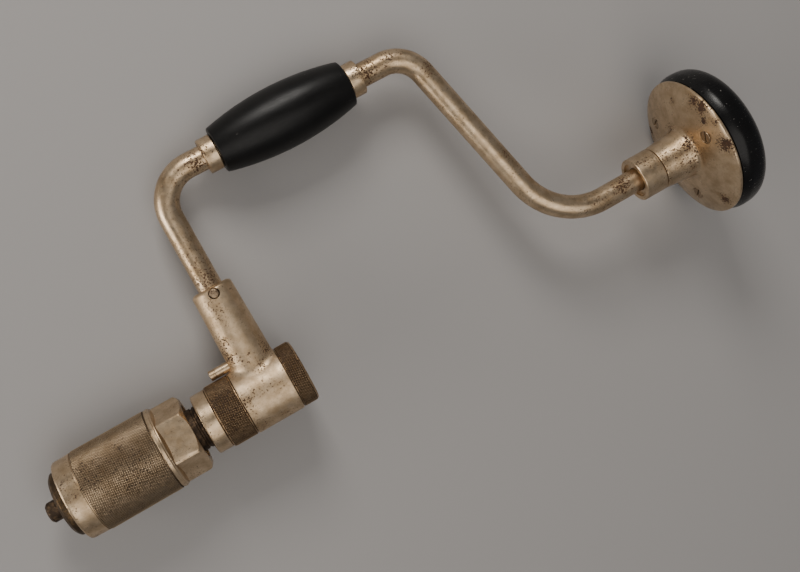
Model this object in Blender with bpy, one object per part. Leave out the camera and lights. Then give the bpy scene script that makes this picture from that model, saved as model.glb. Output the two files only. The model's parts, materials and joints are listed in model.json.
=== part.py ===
"""A carpenter's ratchet brace: bent sweep frame, pad-topped head, barrel handle,
enclosed ring ratchet and a ball-bearing shell chuck with two jaws.

The tool is built in its own axes, in metres:
    X runs along the main axis, from the chuck towards the head,
    Y points from the main axis to the sweep handle, and
    Z is square to the frame.
x = 0 is where the frame's lower arm meets the main axis. At the end the whole
tool is laid on a table, where it rests on its head, its handle and its chuck.
"""

from math import asin, atan, atan2, cos, hypot, pi, radians, sin, sqrt, tan

import bmesh
import bpy
from mathutils import Matrix, Vector

MM = 0.001

# ---------------------------------------------------------------- fits
GAP = 0.3 * MM                  # clearance between neighbouring solids
WEB = 0.5 * MM                  # running clearance between internal side faces

# ---------------------------------------------------------------- sweep frame
THROW = 101.6 * MM              # main axis to handle axis: half of the sweep
ROD_R = 5.5 * MM
LOWER_BEND_R = 17.0 * MM        # radii of the rod's centreline in its bends
UPPER_BEND_R = 15.3 * MM
HEAD_BEND_R = 33.0 * MM
ARM_LEAN = radians(14.5)        # the upper arm leans out towards the head
HEAD_STRAIGHT = 18.0 * MM       # straight rod between the last bend and the collar
BEND_STEP = radians(9)          # one ring of the rod's mesh for each such turn
ROD_SIDES = 24

# ---------------------------------------------------------------- sweep handle
HANDLE_LENGTH = 64.3 * MM
HANDLE_MID_R = 14.3 * MM
HANDLE_END_R = 10.3 * MM
HANDLE_EDGE = 0.8 * MM          # chamfer on the barrel's ends
HANDLE_RINGS = 10               # rings of the mesh along the barrel
SWEEP_COLLAR_WIDTH = 6.3 * MM
SWEEP_COLLAR_R = 7.9 * MM
SWEEP_COLLAR_EDGE = 0.5 * MM
LOWER_SETBACK = 7.5 * MM        # straight rod between a bend and its collar
UPPER_SETBACK = 12.0 * MM

# ---------------------------------------------------------------- head
COLLAR_WIDTH = 11.4 * MM
COLLAR_R = 10.5 * MM
COLLAR_RECESS_R = 8.3 * MM      # shallow recess round the rod at the collar's front
COLLAR_RECESS_DEPTH = 1.4 * MM
COLLAR_CUP_R = 8.6 * MM         # cup that holds the thrust balls
COLLAR_CUP_DEPTH = 4.9 * MM
JOURNAL_R = 4.4 * MM            # the rod's turned end, which the head spins on
HEAD_BALL_R = 1.35 * MM
HEAD_BALLS = 9
SPIGOT_DEPTH = 1.5 * MM         # how far the neck reaches into the collar's cup
NECK_LENGTH = 16.7 * MM
NECK_FRONT_R = 10.4 * MM
NECK_REAR_R = 12.1 * MM
PLATE_R = 34.1 * MM
PLATE_RISE = 4.8 * MM           # the plate's rim stands this far behind its middle
PLATE_THICKNESS = 1.6 * MM
PLATE_EDGE = 0.4 * MM
NUT_ACROSS_FLATS = 13.0 * MM
NUT_THICKNESS = 4.5 * MM
WASHER_R = 8.5 * MM
WASHER_THICKNESS = 1.0 * MM
JOURNAL_STAND_OUT = 0.7 * MM    # thread showing past the head's nut
KNOB_R = 35.4 * MM
KNOB_RIM = 5.2 * MM             # plate to the knob's widest circle
KNOB_DOME = 14.5 * MM           # widest circle to the top of the dome
KNOB_SQUARENESS = 3.0           # superellipse power of the dome's outline
KNOB_RINGS = 9
NUT_WELL_MARGIN = 1.5 * MM      # room round the nut in the knob
SCREW_CIRCLE_R = 23.0 * MM
SCREW_HEAD_R = 3.0 * MM
SCREW_SHANK_R = 1.6 * MM
SCREW_LENGTH = 12.0 * MM
SCREW_COUNT = 3
SCREW_PHASE = radians(-40)

# ---------------------------------------------------------------- ratchet housing
HOUSING_R = 14.7 * MM
HOUSING_FRONT = -12.1 * MM
HOUSING_REAR = 10.2 * MM
HOUSING_BORE_R = 11.5 * MM
DETENT_HOLE_END = 4.1 * MM      # how far the detent's hole ends in front of the boss axis
BOSS_TOP = 51.2 * MM            # from the main axis to the end of the rod's socket
BOSS_TOP_R = 9.3 * MM
BOSS_ROOT_R = 10.0 * MM
BOSS_EDGE = 1.2 * MM
SOCKET_FLOOR = 24.5 * MM        # from the main axis to the bottom of the socket
RIVET_R = 2.0 * MM
RIVET_INSET = 2.9 * MM          # from the socket's end to the rivet's middle

# ---------------------------------------------------------------- ratchet cap
CAP_WIDTH = 7.5 * MM
CAP_R = 14.5 * MM
CAP_PLUG = 5.8 * MM             # length of the cap's plug inside the housing
CAP_BACK = 3.8 * MM             # metal behind the spindle's end

# ---------------------------------------------------------------- selector
SELECTOR_WIDTH = 11.65 * MM
SELECTOR_R = 14.6 * MM
SELECTOR_EDGE = 0.4 * MM
SLEEVE_R = 7.6 * MM             # the selector's sleeve in the housing's front wall
CAM_SEAT_R = 6.8 * MM
CAM_WIDTH = 3.3 * MM
CAM_R = 8.65 * MM               # the cam's radius under a pawl at mid position
SELECTOR_THROW = radians(15)    # the ring turns this far each way
DETENT_R = 0.7 * MM
DETENT_GROOVE = 0.6 * MM
DETENT_POCKET = 0.3 * MM        # how much deeper the three pockets are
DETENT_RINGS = 6
DETENT_WIRE_R = 0.13 * MM
DETENT_COILS = 4

# ---------------------------------------------------------------- ratchet wheel and pawls
TEETH = 12
WHEEL_TIP_R = 9.8 * MM
WHEEL_ROOT_R = 7.9 * MM
WHEEL_WIDTH = 6.7 * MM
THRUST_WASHER = 0.8 * MM
TOOTH_GAP_TOP = radians(19)
TOOTH_GAP_ROOT = radians(17)
PAWL_TIP_R = 9.2 * MM           # a pawl's tip from the main axis at mid position
PAWL_TIP_ANGLE = radians(31)
PAWL_TIP_WIDTH = 1.44 * MM
PAWL_ARM = 2.6 * MM             # width of a pawl's arm
PAWL_HUB_R = 4.0 * MM
PAWL_ROCK = radians(5.4)        # the pawls rock this far each way
PIN_R = 2.3 * MM
PIN_Y = 17.4 * MM
PIN_STAND_OUT = 9.0 * MM        # bare pin in front of the boss
PIN_TAIL = 2.5 * MM             # how far it goes into the metal behind the pawls
PAWL_SPRING_WIRE = 0.6 * MM
PAWL_SPRING_WIDTH = 0.8 * MM

# ---------------------------------------------------------------- spindle and chuck
SPINDLE_JOURNAL_R = 5.0 * MM
SPINDLE_COLLAR_WIDTH = 6.65 * MM
SPINDLE_COLLAR_R = 13.9 * MM
SPINDLE_COLLAR_SEAT_R = 7.5 * MM
NECK_GAP = 4.5 * MM             # bare neck between the chuck and the ratchet
SPINDLE_NECK_R = 9.7 * MM
SPINDLE_THREAD_R = 12.5 * MM
THREAD_SET_IN = 2.5 * MM        # the thread ends this far inside the wrench nut
HEX_ACROSS_FLATS = 31.0 * MM
HEX_LENGTH = 11.8 * MM
HEX_PHASE = radians(50)
HEX_CHAMFER = 1.0 * MM
FLANGE_R = 18.6 * MM
FLANGE_WIDTH = 3.1 * MM
NUT_SPIGOT = 12.0 * MM          # how far the wrench nut reaches into the shell
SHELL_R = 18.7 * MM
SHELL_LENGTH = 42.8 * MM
NOSE_LENGTH = 8.5 * MM          # smooth band in front of the knurl
NOSE_R = 18.1 * MM
SHELL_BORE_R = 17.2 * MM
LIP_R = 15.2 * MM               # the opening in the shell's front
LIP_THICKNESS = 2.4 * MM
CHUCK_BALL_R = 0.95 * MM
CHUCK_BALLS = 24
CONE_STAND_OUT = 4.0 * MM       # the cone ring stands out of the shell
CONE_EDGE = 1.4 * MM
CONE_PLAY = 0.4 * MM            # running clearance of the cone in the shell's opening
CONE_MOUTH_R = 6.8 * MM
CONE_FLANGE = 4.3 * MM
CONE_SLOPE = 0.35               # radius gained per length of the jaws' taper
MOUTH_LENGTH = 4.6 * MM         # straight bore in front of the taper
JAW_TAPER = 7.2 * MM
JAW_TIP_R = 4.7 * MM
JAW_STAND_OUT = 6.7 * MM        # jaw tips in front of the cone ring
JAW_TIP_CHAMFER = 1.1 * MM
JAW_SHOULDER = 8.6 * MM         # full-width stretch behind the taper
JAW_TAIL = 20.0 * MM
JAW_HALF_WIDTH = 4.4 * MM
JAW_SPLIT = 1.2 * MM            # gap between the closed jaws
JAW_SOCKET = 5.4 * MM           # square hole that takes the bit's tang
JAW_SPRING_THICKNESS = 0.5 * MM
SLOT_DEPTH = 6.0 * MM           # keyway for the jaws across the spindle's front
SPINDLE_BORE_R = 6.6 * MM
SPINDLE_BORE_DEPTH = 29.0 * MM

# ---------------------------------------------------------------- derived places
handle_bore_r = ROD_R + GAP
collar_lower_x = LOWER_BEND_R + LOWER_SETBACK
handle_x = collar_lower_x + SWEEP_COLLAR_WIDTH + GAP
collar_upper_x = handle_x + HANDLE_LENGTH + GAP
upper_tangent = UPPER_BEND_R * tan((pi / 2 - ARM_LEAN) / 2)
upper_corner_x = collar_upper_x + SWEEP_COLLAR_WIDTH + UPPER_SETBACK + upper_tangent
head_corner_x = upper_corner_x + THROW * tan(ARM_LEAN)
head_tangent = HEAD_BEND_R * tan((pi / 2 - ARM_LEAN) / 2)
collar_x = head_corner_x + head_tangent + HEAD_STRAIGHT

cup_floor_x = collar_x + COLLAR_WIDTH - COLLAR_CUP_DEPTH
neck_x = collar_x + COLLAR_WIDTH + GAP
plate_x = neck_x + NECK_LENGTH
plate_back_x = plate_x + PLATE_THICKNESS
washer_x = plate_back_x + GAP
nut_x = washer_x + WASHER_THICKNESS + GAP
journal_end_x = nut_x + NUT_THICKNESS + JOURNAL_STAND_OUT
well_top_x = journal_end_x + NUT_WELL_MARGIN
rim_x = plate_x + PLATE_RISE
knob_wide_x = rim_x + PLATE_THICKNESS + KNOB_RIM
knob_top_x = knob_wide_x + KNOB_DOME

cap_x = HOUSING_REAR + GAP
cap_end_x = cap_x + CAP_WIDTH
plug_x = HOUSING_REAR - CAP_PLUG
wheel_rear_x = plug_x - 2 * GAP - THRUST_WASHER
wheel_x = wheel_rear_x - WHEEL_WIDTH
cam_rear_x = wheel_x - 2 * GAP
cam_x = cam_rear_x - CAM_WIDTH
wall_rear_x = cam_x - GAP
selector_rear_x = HOUSING_FRONT - GAP
selector_x = selector_rear_x - SELECTOR_WIDTH
spindle_collar_x = selector_x - GAP - SPINDLE_COLLAR_WIDTH
detent_circle_r = (HOUSING_BORE_R + HOUSING_R) / 2
detent_floor_x = -DETENT_HOLE_END
pawl_x = cam_x - GAP / 3
pawl_hub_x = cam_x + 3 * GAP
pin_rear_x = wheel_rear_x + WEB + PIN_TAIL
tip_drop = PIN_Y - PAWL_TIP_R * cos(PAWL_TIP_ANGLE)
tip_side = PAWL_TIP_R * sin(PAWL_TIP_ANGLE)
pawl_length = hypot(tip_drop, tip_side)
lifted_lean = atan2(tip_side, tip_drop) + PAWL_ROCK
lifted_tip_r = sqrt(PIN_Y ** 2 + pawl_length ** 2 - 2 * PIN_Y * pawl_length * cos(lifted_lean))
pawl_lift = lifted_tip_r - PAWL_TIP_R
pawl_elbow_r = WHEEL_TIP_R + pawl_lift + GAP

hex_rear_x = spindle_collar_x - NECK_GAP
hex_x = hex_rear_x - HEX_LENGTH
flange_x = hex_x - FLANGE_WIDTH - GAP
shell_rear_x = flange_x - GAP
shell_x = shell_rear_x - SHELL_LENGTH
lip_rear_x = shell_x + LIP_THICKNESS
cone_x = shell_x - CONE_STAND_OUT
cone_flange_x = lip_rear_x + 2 * CHUCK_BALL_R + 2 * GAP
taper_x = cone_x + MOUTH_LENGTH
taper_rear_x = taper_x + JAW_TAPER
cone_rear_x = cone_flange_x + CONE_FLANGE
snout_r = LIP_R - CONE_PLAY
cone_wide_r = CONE_MOUTH_R + CONE_SLOPE * JAW_TAPER
jaw_wide_r = cone_wide_r - GAP
jaw_tip_x = cone_x - JAW_STAND_OUT
shoulder_rear_x = taper_rear_x + JAW_SHOULDER
tail_rear_x = shoulder_rear_x + JAW_TAIL
spindle_x = shoulder_rear_x + GAP - SLOT_DEPTH
spindle_bore_x = spindle_x + SPINDLE_BORE_DEPTH
thread_rear_x = hex_rear_x - THREAD_SET_IN


# ---------------------------------------------------------------- helpers
def clear_scene():
    for item in list(bpy.data.objects):
        bpy.data.objects.remove(item, do_unlink=True)


def make_material(name, colour, metallic, roughness):
    material = bpy.data.materials.new(name)
    material.use_nodes = True
    shader = material.node_tree.nodes["Principled BSDF"]
    shader.inputs["Base Color"].default_value = (*colour, 1.0)
    shader.inputs["Metallic"].default_value = metallic
    shader.inputs["Roughness"].default_value = roughness
    material.diffuse_color = (*colour, 1.0)
    return material


def finish_mesh(name, mesh_data, finish, parent, smooth=True):
    """Turn a bmesh into an object with its faces pointing out."""
    bmesh.ops.recalc_face_normals(mesh_data, faces=mesh_data.faces)
    mesh = bpy.data.meshes.new(name)
    mesh_data.to_mesh(mesh)
    mesh_data.free()
    if smooth:
        mesh.shade_smooth()
        mesh.set_sharp_from_angle(angle=radians(30))
    item = bpy.data.objects.new(name, mesh)
    bpy.context.collection.objects.link(item)
    if finish is not None:
        mesh.materials.append(make_material(name, *finish))
    if parent is not None:
        item.parent = parent
    return item


def ring_of_points(mesh_data, x, radius, segments):
    """One ring about the X axis; a zero radius gives a single pole."""
    if not callable(radius) and radius == 0:
        return [mesh_data.verts.new((x, 0, 0))]
    points = []
    for step in range(segments):
        angle = 2 * pi * step / segments
        reach = radius(angle) if callable(radius) else radius
        points.append(mesh_data.verts.new((x, reach * cos(angle), reach * sin(angle))))
    return points


def bridge(mesh_data, ring_a, ring_b):
    count = max(len(ring_a), len(ring_b))
    for step in range(count):
        after = (step + 1) % count
        corners = []
        for ring, order in ((ring_a, (step, after)), (ring_b, (after, step))):
            if len(ring) == 1:
                corners.append(ring[0])
            else:
                corners.extend(ring[index] for index in order)
        mesh_data.faces.new(corners)


def turned(name, outline, segments, finish, parent):
    """A solid turned about X from (x, radius) points.

    An outline that starts and ends on the axis makes a solid bar. Any other is
    closed on itself and makes a ring. A radius may be a function of the angle.
    """
    mesh_data = bmesh.new()
    rings = [ring_of_points(mesh_data, x, radius, segments) for x, radius in outline]
    for ring_a, ring_b in zip(rings, rings[1:]):
        bridge(mesh_data, ring_a, ring_b)
    if len(rings[0]) > 1:
        bridge(mesh_data, rings[-1], rings[0])
    return finish_mesh(name, mesh_data, finish, parent)


def prism(name, outline, x_front, x_rear, finish, parent):
    """A straight bar along X whose end faces are the (y, z) outline."""
    mesh_data = bmesh.new()
    face = mesh_data.faces.new([mesh_data.verts.new((x_front, y, z)) for y, z in outline])
    grown = bmesh.ops.extrude_face_region(mesh_data, geom=[face])
    moved = [item for item in grown["geom"] if isinstance(item, bmesh.types.BMVert)]
    bmesh.ops.translate(mesh_data, verts=moved, vec=(x_rear - x_front, 0, 0))
    return finish_mesh(name, mesh_data, finish, parent, smooth=False)


def block(name, low, high, parent, finish=None):
    corners = [(low[1], low[2]), (high[1], low[2]), (high[1], high[2]), (low[1], high[2])]
    return prism(name, corners, low[0], high[0], finish, parent)


def swept(name, path, radii, sides, finish, parent):
    """A round bar along a path in the XY plane, with a radius at each point."""
    mesh_data = bmesh.new()
    rings = []
    for index, point in enumerate(path):
        ahead = path[min(index + 1, len(path) - 1)]
        behind = path[max(index - 1, 0)]
        along = (ahead - behind).normalized()
        across = Vector((-along.y, along.x, 0))
        ring = []
        for step in range(sides):
            angle = 2 * pi * step / sides
            offset = across * cos(angle) + Vector((0, 0, sin(angle)))
            ring.append(mesh_data.verts.new(point + offset * radii[index]))
        rings.append(ring)
    for ring_a, ring_b in zip(rings, rings[1:]):
        bridge(mesh_data, ring_a, ring_b)
    mesh_data.faces.new(rings[0])
    mesh_data.faces.new(rings[-1])
    return finish_mesh(name, mesh_data, finish, parent)


def bead_ring(name, x, circle_r, ball_r, balls, steps_per_ball, finish, parent):
    """Thrust balls in their cage: one ring that swells into a ball at each seat."""
    cage_r = 0.45 * ball_r
    steps = balls * steps_per_ball
    sides = 6
    mesh_data = bmesh.new()
    rings = []
    for step in range(steps):
        angle = 2 * pi * step / steps
        seat = 2 * pi * round(angle * balls / (2 * pi)) / balls
        away = circle_r * abs(angle - seat)
        swell = sqrt(max(ball_r ** 2 - away ** 2, 0.0))
        radius = max(swell, cage_r)
        ring = []
        for side in range(sides):
            turn = 2 * pi * side / sides
            reach = circle_r + radius * cos(turn)
            place = (x + radius * sin(turn), reach * cos(angle), reach * sin(angle))
            ring.append(mesh_data.verts.new(place))
        rings.append(ring)
    for index, ring in enumerate(rings):
        bridge(mesh_data, ring, rings[(index + 1) % steps])
    return finish_mesh(name, mesh_data, finish, parent)


def coil(name, start, length, coil_r, wire_r, turns, finish, parent):
    """A coil spring along X."""
    steps = turns * 10
    sides = 5
    mesh_data = bmesh.new()
    rings = []
    for step in range(steps + 1):
        angle = 2 * pi * turns * step / steps
        outward = Vector((0, cos(angle), sin(angle)))
        centre = start + outward * coil_r + Vector((length * step / steps, 0, 0))
        ring = []
        for side in range(sides):
            turn = 2 * pi * side / sides
            ring.append(mesh_data.verts.new(
                centre + outward * wire_r * cos(turn) + Vector((wire_r * sin(turn), 0, 0))))
        rings.append(ring)
    for ring_a, ring_b in zip(rings, rings[1:]):
        bridge(mesh_data, ring_a, ring_b)
    mesh_data.faces.new(rings[0])
    mesh_data.faces.new(rings[-1])
    return finish_mesh(name, mesh_data, finish, parent)


def combine(target, tool, operation):
    """Boolean with a hidden helper object."""
    tool.hide_render = True
    tool.display_type = "WIRE"
    modifier = target.modifiers.new(tool.name, "BOOLEAN")
    modifier.operation = operation
    modifier.object = tool
    modifier.solver = "EXACT"


def turn_to_y(item):
    """Point a piece that was turned about X along +Y instead."""
    item.rotation_euler = (0, 0, pi / 2)


def turn_to_z(item):
    """Point a piece that was turned about X along +Z instead."""
    item.rotation_euler = (0, -pi / 2, 0)


def bar(name, x_front, x_rear, radius, sides, finish, parent, edge=0.0):
    """A round bar about X with chamfered ends."""
    outline = [(x_front, 0), (x_front, radius - edge)]
    if edge > 0:
        outline += [(x_front + edge, radius), (x_rear - edge, radius)]
    outline += [(x_rear, radius - edge), (x_rear, 0)]
    return turned(name, outline, sides, finish, parent)


def axis_empty(name, parent, location=(0, 0, 0)):
    empty = bpy.data.objects.new(name, None)
    bpy.context.collection.objects.link(empty)
    empty.parent = parent
    empty.location = location
    return empty


def hexagon(across_flats, phase):
    """Radius of a hexagon as a function of the angle; corners at phase + 60 degrees."""
    def radius(angle):
        turn = (angle - phase) % (pi / 3) - pi / 6
        return across_flats / 2 / cos(turn)
    return radius


# ---------------------------------------------------------------- finishes
NICKEL = ((0.62, 0.56, 0.47), 1.0, 0.35)
DARK_STEEL = ((0.16, 0.12, 0.09), 1.0, 0.5)
BARE_STEEL = ((0.5, 0.48, 0.45), 1.0, 0.3)
SPRING_STEEL = ((0.3, 0.3, 0.32), 1.0, 0.35)
HEAD_BLACK = ((0.012, 0.011, 0.011), 0.0, 0.2)
HANDLE_BLACK = ((0.015, 0.014, 0.014), 0.0, 0.35)


# ---------------------------------------------------------------- sweep frame
def fillet_points(before, corner, after, radius):
    """Points of the arc that rounds a corner of the rod's centreline."""
    to_before = (before - corner).normalized()
    to_after = (after - corner).normalized()
    half = to_before.angle(to_after) / 2
    start = corner + to_before * (radius / tan(half))
    centre = corner + (to_before + to_after).normalized() * (radius / sin(half))
    spoke = start - centre
    sweep = pi - 2 * half
    sign = 1 if to_before.cross(to_after).z < 0 else -1
    steps = max(2, round(sweep / BEND_STEP))
    points = []
    for step in range(steps + 1):
        turn = Matrix.Rotation(sign * sweep * step / steps, 3, "Z")
        points.append(centre + turn @ spoke)
    return points


def rod_path():
    """The rod's centreline, from the socket's floor to the head's journal."""
    socket = Vector((0, SOCKET_FLOOR + GAP, 0))
    lower = Vector((0, THROW, 0))
    upper = Vector((upper_corner_x, THROW, 0))
    foot = Vector((head_corner_x, 0, 0))
    shoulder = Vector((cup_floor_x - GAP, 0, 0))
    path = [socket]
    path += fillet_points(socket, lower, upper, LOWER_BEND_R)
    path += fillet_points(lower, upper, foot, UPPER_BEND_R)
    path += fillet_points(upper, foot, shoulder, HEAD_BEND_R)
    return path + [shoulder]


def build_frame(frame):
    path = rod_path()
    radii = [ROD_R] * len(path)
    path += [path[-1].copy(), Vector((journal_end_x, 0, 0))]
    radii += [JOURNAL_R, JOURNAL_R]
    crank = swept("frame_crank", path, radii, ROD_SIDES, NICKEL, frame)
    combine(crank, rivet_hole("rivet_hole_in_rod", frame), "DIFFERENCE")

    for name, x in (("handle_collar_lower", collar_lower_x), ("handle_collar_upper", collar_upper_x)):
        outline = [
            (0, handle_bore_r),
            (0, SWEEP_COLLAR_R - SWEEP_COLLAR_EDGE),
            (SWEEP_COLLAR_EDGE, SWEEP_COLLAR_R),
            (SWEEP_COLLAR_WIDTH - SWEEP_COLLAR_EDGE, SWEEP_COLLAR_R),
            (SWEEP_COLLAR_WIDTH, SWEEP_COLLAR_R - SWEEP_COLLAR_EDGE),
            (SWEEP_COLLAR_WIDTH, handle_bore_r),
        ]
        ring = turned(name, outline, 28, NICKEL, frame)
        ring.location = (x, THROW, 0)

    collar_end_x = collar_x + COLLAR_WIDTH
    recess_x = collar_x + COLLAR_RECESS_DEPTH
    turned("frame_collar", [
        (collar_x, COLLAR_RECESS_R),
        (collar_x, COLLAR_R - GAP),
        (collar_x + GAP, COLLAR_R),
        (collar_end_x - GAP, COLLAR_R),
        (collar_end_x, COLLAR_R - GAP),
        (collar_end_x, COLLAR_CUP_R),
        (cup_floor_x, COLLAR_CUP_R),
        (cup_floor_x, ROD_R + GAP),
        (recess_x, ROD_R + GAP),
        (recess_x, COLLAR_RECESS_R),
    ], 36, NICKEL, frame)


def rivet_hole(name, frame):
    length = 2 * BOSS_ROOT_R
    hole = bar(name, -length, length, RIVET_R + GAP, 16, None, frame)
    turn_to_z(hole)
    hole.location = (0, BOSS_TOP - RIVET_INSET, 0)
    return hole


# ---------------------------------------------------------------- sweep handle
def barrel_arc_radius():
    rise = HANDLE_MID_R - HANDLE_END_R
    return ((HANDLE_LENGTH / 2) ** 2 + rise ** 2) / (2 * rise)


def build_handle(handle):
    """A barrel whose side is a circular arc, bored for the rod."""
    half = HANDLE_LENGTH / 2
    arc_r = barrel_arc_radius()
    outline = [(0, handle_bore_r), (0, HANDLE_END_R - HANDLE_EDGE)]
    for step in range(HANDLE_RINGS + 1):
        x = HANDLE_EDGE + (HANDLE_LENGTH - 2 * HANDLE_EDGE) * step / HANDLE_RINGS
        drop = arc_r - sqrt(arc_r ** 2 - (x - half) ** 2)
        outline.append((x, HANDLE_MID_R - drop))
    outline += [(HANDLE_LENGTH, HANDLE_END_R - HANDLE_EDGE), (HANDLE_LENGTH, handle_bore_r)]
    barrel = turned("sweep_handle", outline, 36, HANDLE_BLACK, handle)
    barrel.location = (handle_x, 0, 0)


# ---------------------------------------------------------------- head
def plate_front_at(radius):
    """The plate's front face: a shallow cone from the neck to the rim."""
    return plate_x + PLATE_RISE * (radius - NECK_REAR_R) / (PLATE_R - NECK_REAR_R)


def head_screw_places():
    for index in range(SCREW_COUNT):
        angle = SCREW_PHASE + 2 * pi * index / SCREW_COUNT
        yield index + 1, SCREW_CIRCLE_R * cos(angle), SCREW_CIRCLE_R * sin(angle)


def screw_outline(grow):
    """Countersunk screw from its head's face; grow gives the hole that it sits in."""
    sink = SCREW_HEAD_R - SCREW_SHANK_R
    start = -2 * PLATE_THICKNESS if grow > 0 else 0.0
    return [
        (start, 0),
        (start, SCREW_HEAD_R + grow),
        (grow, SCREW_HEAD_R + grow),
        (sink + grow, SCREW_SHANK_R + grow),
        (SCREW_LENGTH + grow, SCREW_SHANK_R + grow),
        (SCREW_LENGTH + grow, 0),
    ]


def build_head(head, frame):
    head_face_x = plate_front_at(SCREW_CIRCLE_R) + GAP
    spigot_x = neck_x - GAP - SPIGOT_DEPTH
    spigot_r = COLLAR_CUP_R - GAP
    bore_r = JOURNAL_R + GAP
    plate = turned("head_plate", [
        (spigot_x, bore_r),
        (spigot_x, spigot_r),
        (neck_x, spigot_r),
        (neck_x, NECK_FRONT_R - GAP),
        (neck_x + GAP, NECK_FRONT_R),
        (plate_x - 2 * GAP, NECK_REAR_R - GAP),
        (plate_front_at(NECK_REAR_R + 2 * GAP), NECK_REAR_R + 2 * GAP),
        (plate_front_at(SCREW_CIRCLE_R), SCREW_CIRCLE_R),
        (rim_x, PLATE_R),
        (rim_x + PLATE_THICKNESS - PLATE_EDGE, PLATE_R),
        (rim_x + PLATE_THICKNESS, PLATE_R - PLATE_EDGE),
        (plate_back_x, NECK_REAR_R),
        (plate_back_x, bore_r),
    ], 48, NICKEL, head)

    well_r = WASHER_R + NUT_WELL_MARGIN
    lift = PLATE_THICKNESS + GAP
    rim_r = PLATE_R - PLATE_EDGE
    outline = [
        (well_top_x, 0),
        (well_top_x, well_r),
        (plate_back_x + GAP, well_r),
        (plate_back_x + GAP, NECK_REAR_R),
        (rim_x + lift, rim_r),
        (rim_x + lift + (knob_wide_x - rim_x - lift) / 2, (rim_r + KNOB_R) / 2 + GAP),
    ]
    power = 2 / KNOB_SQUARENESS
    for step in range(KNOB_RINGS):
        turn = pi / 2 * step / KNOB_RINGS
        outline.append((knob_wide_x + KNOB_DOME * sin(turn) ** power, KNOB_R * cos(turn) ** power))
    outline.append((knob_top_x, 0))
    knob = turned("head_knob", outline, 48, HEAD_BLACK, head)

    for number, y, z in head_screw_places():
        for target in (plate, knob):
            hole = turned(f"screw_hole_{number}_in_{target.name}", screw_outline(GAP), 12, None, head)
            hole.location = (head_face_x, y, z)
            combine(target, hole, "DIFFERENCE")
        screw = turned(f"head_screw_{number}", screw_outline(0), 16, DARK_STEEL, head)
        screw.location = (head_face_x, y, z)

    ball_x = (cup_floor_x + spigot_x) / 2
    ball_circle_r = (JOURNAL_R + COLLAR_CUP_R) / 2
    bead_ring("head_bearing", ball_x, ball_circle_r, HEAD_BALL_R, HEAD_BALLS, 6, BARE_STEEL, head)

    turned("head_washer", [
        (washer_x, bore_r),
        (washer_x, WASHER_R),
        (washer_x + WASHER_THICKNESS, WASHER_R),
        (washer_x + WASHER_THICKNESS, bore_r),
    ], 24, BARE_STEEL, frame)
    nut_side = hexagon(NUT_ACROSS_FLATS, 0)
    turned("head_nut", [
        (nut_x, bore_r),
        (nut_x, nut_side),
        (nut_x + NUT_THICKNESS, nut_side),
        (nut_x + NUT_THICKNESS, bore_r),
    ], 24, BARE_STEEL, frame)


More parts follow.
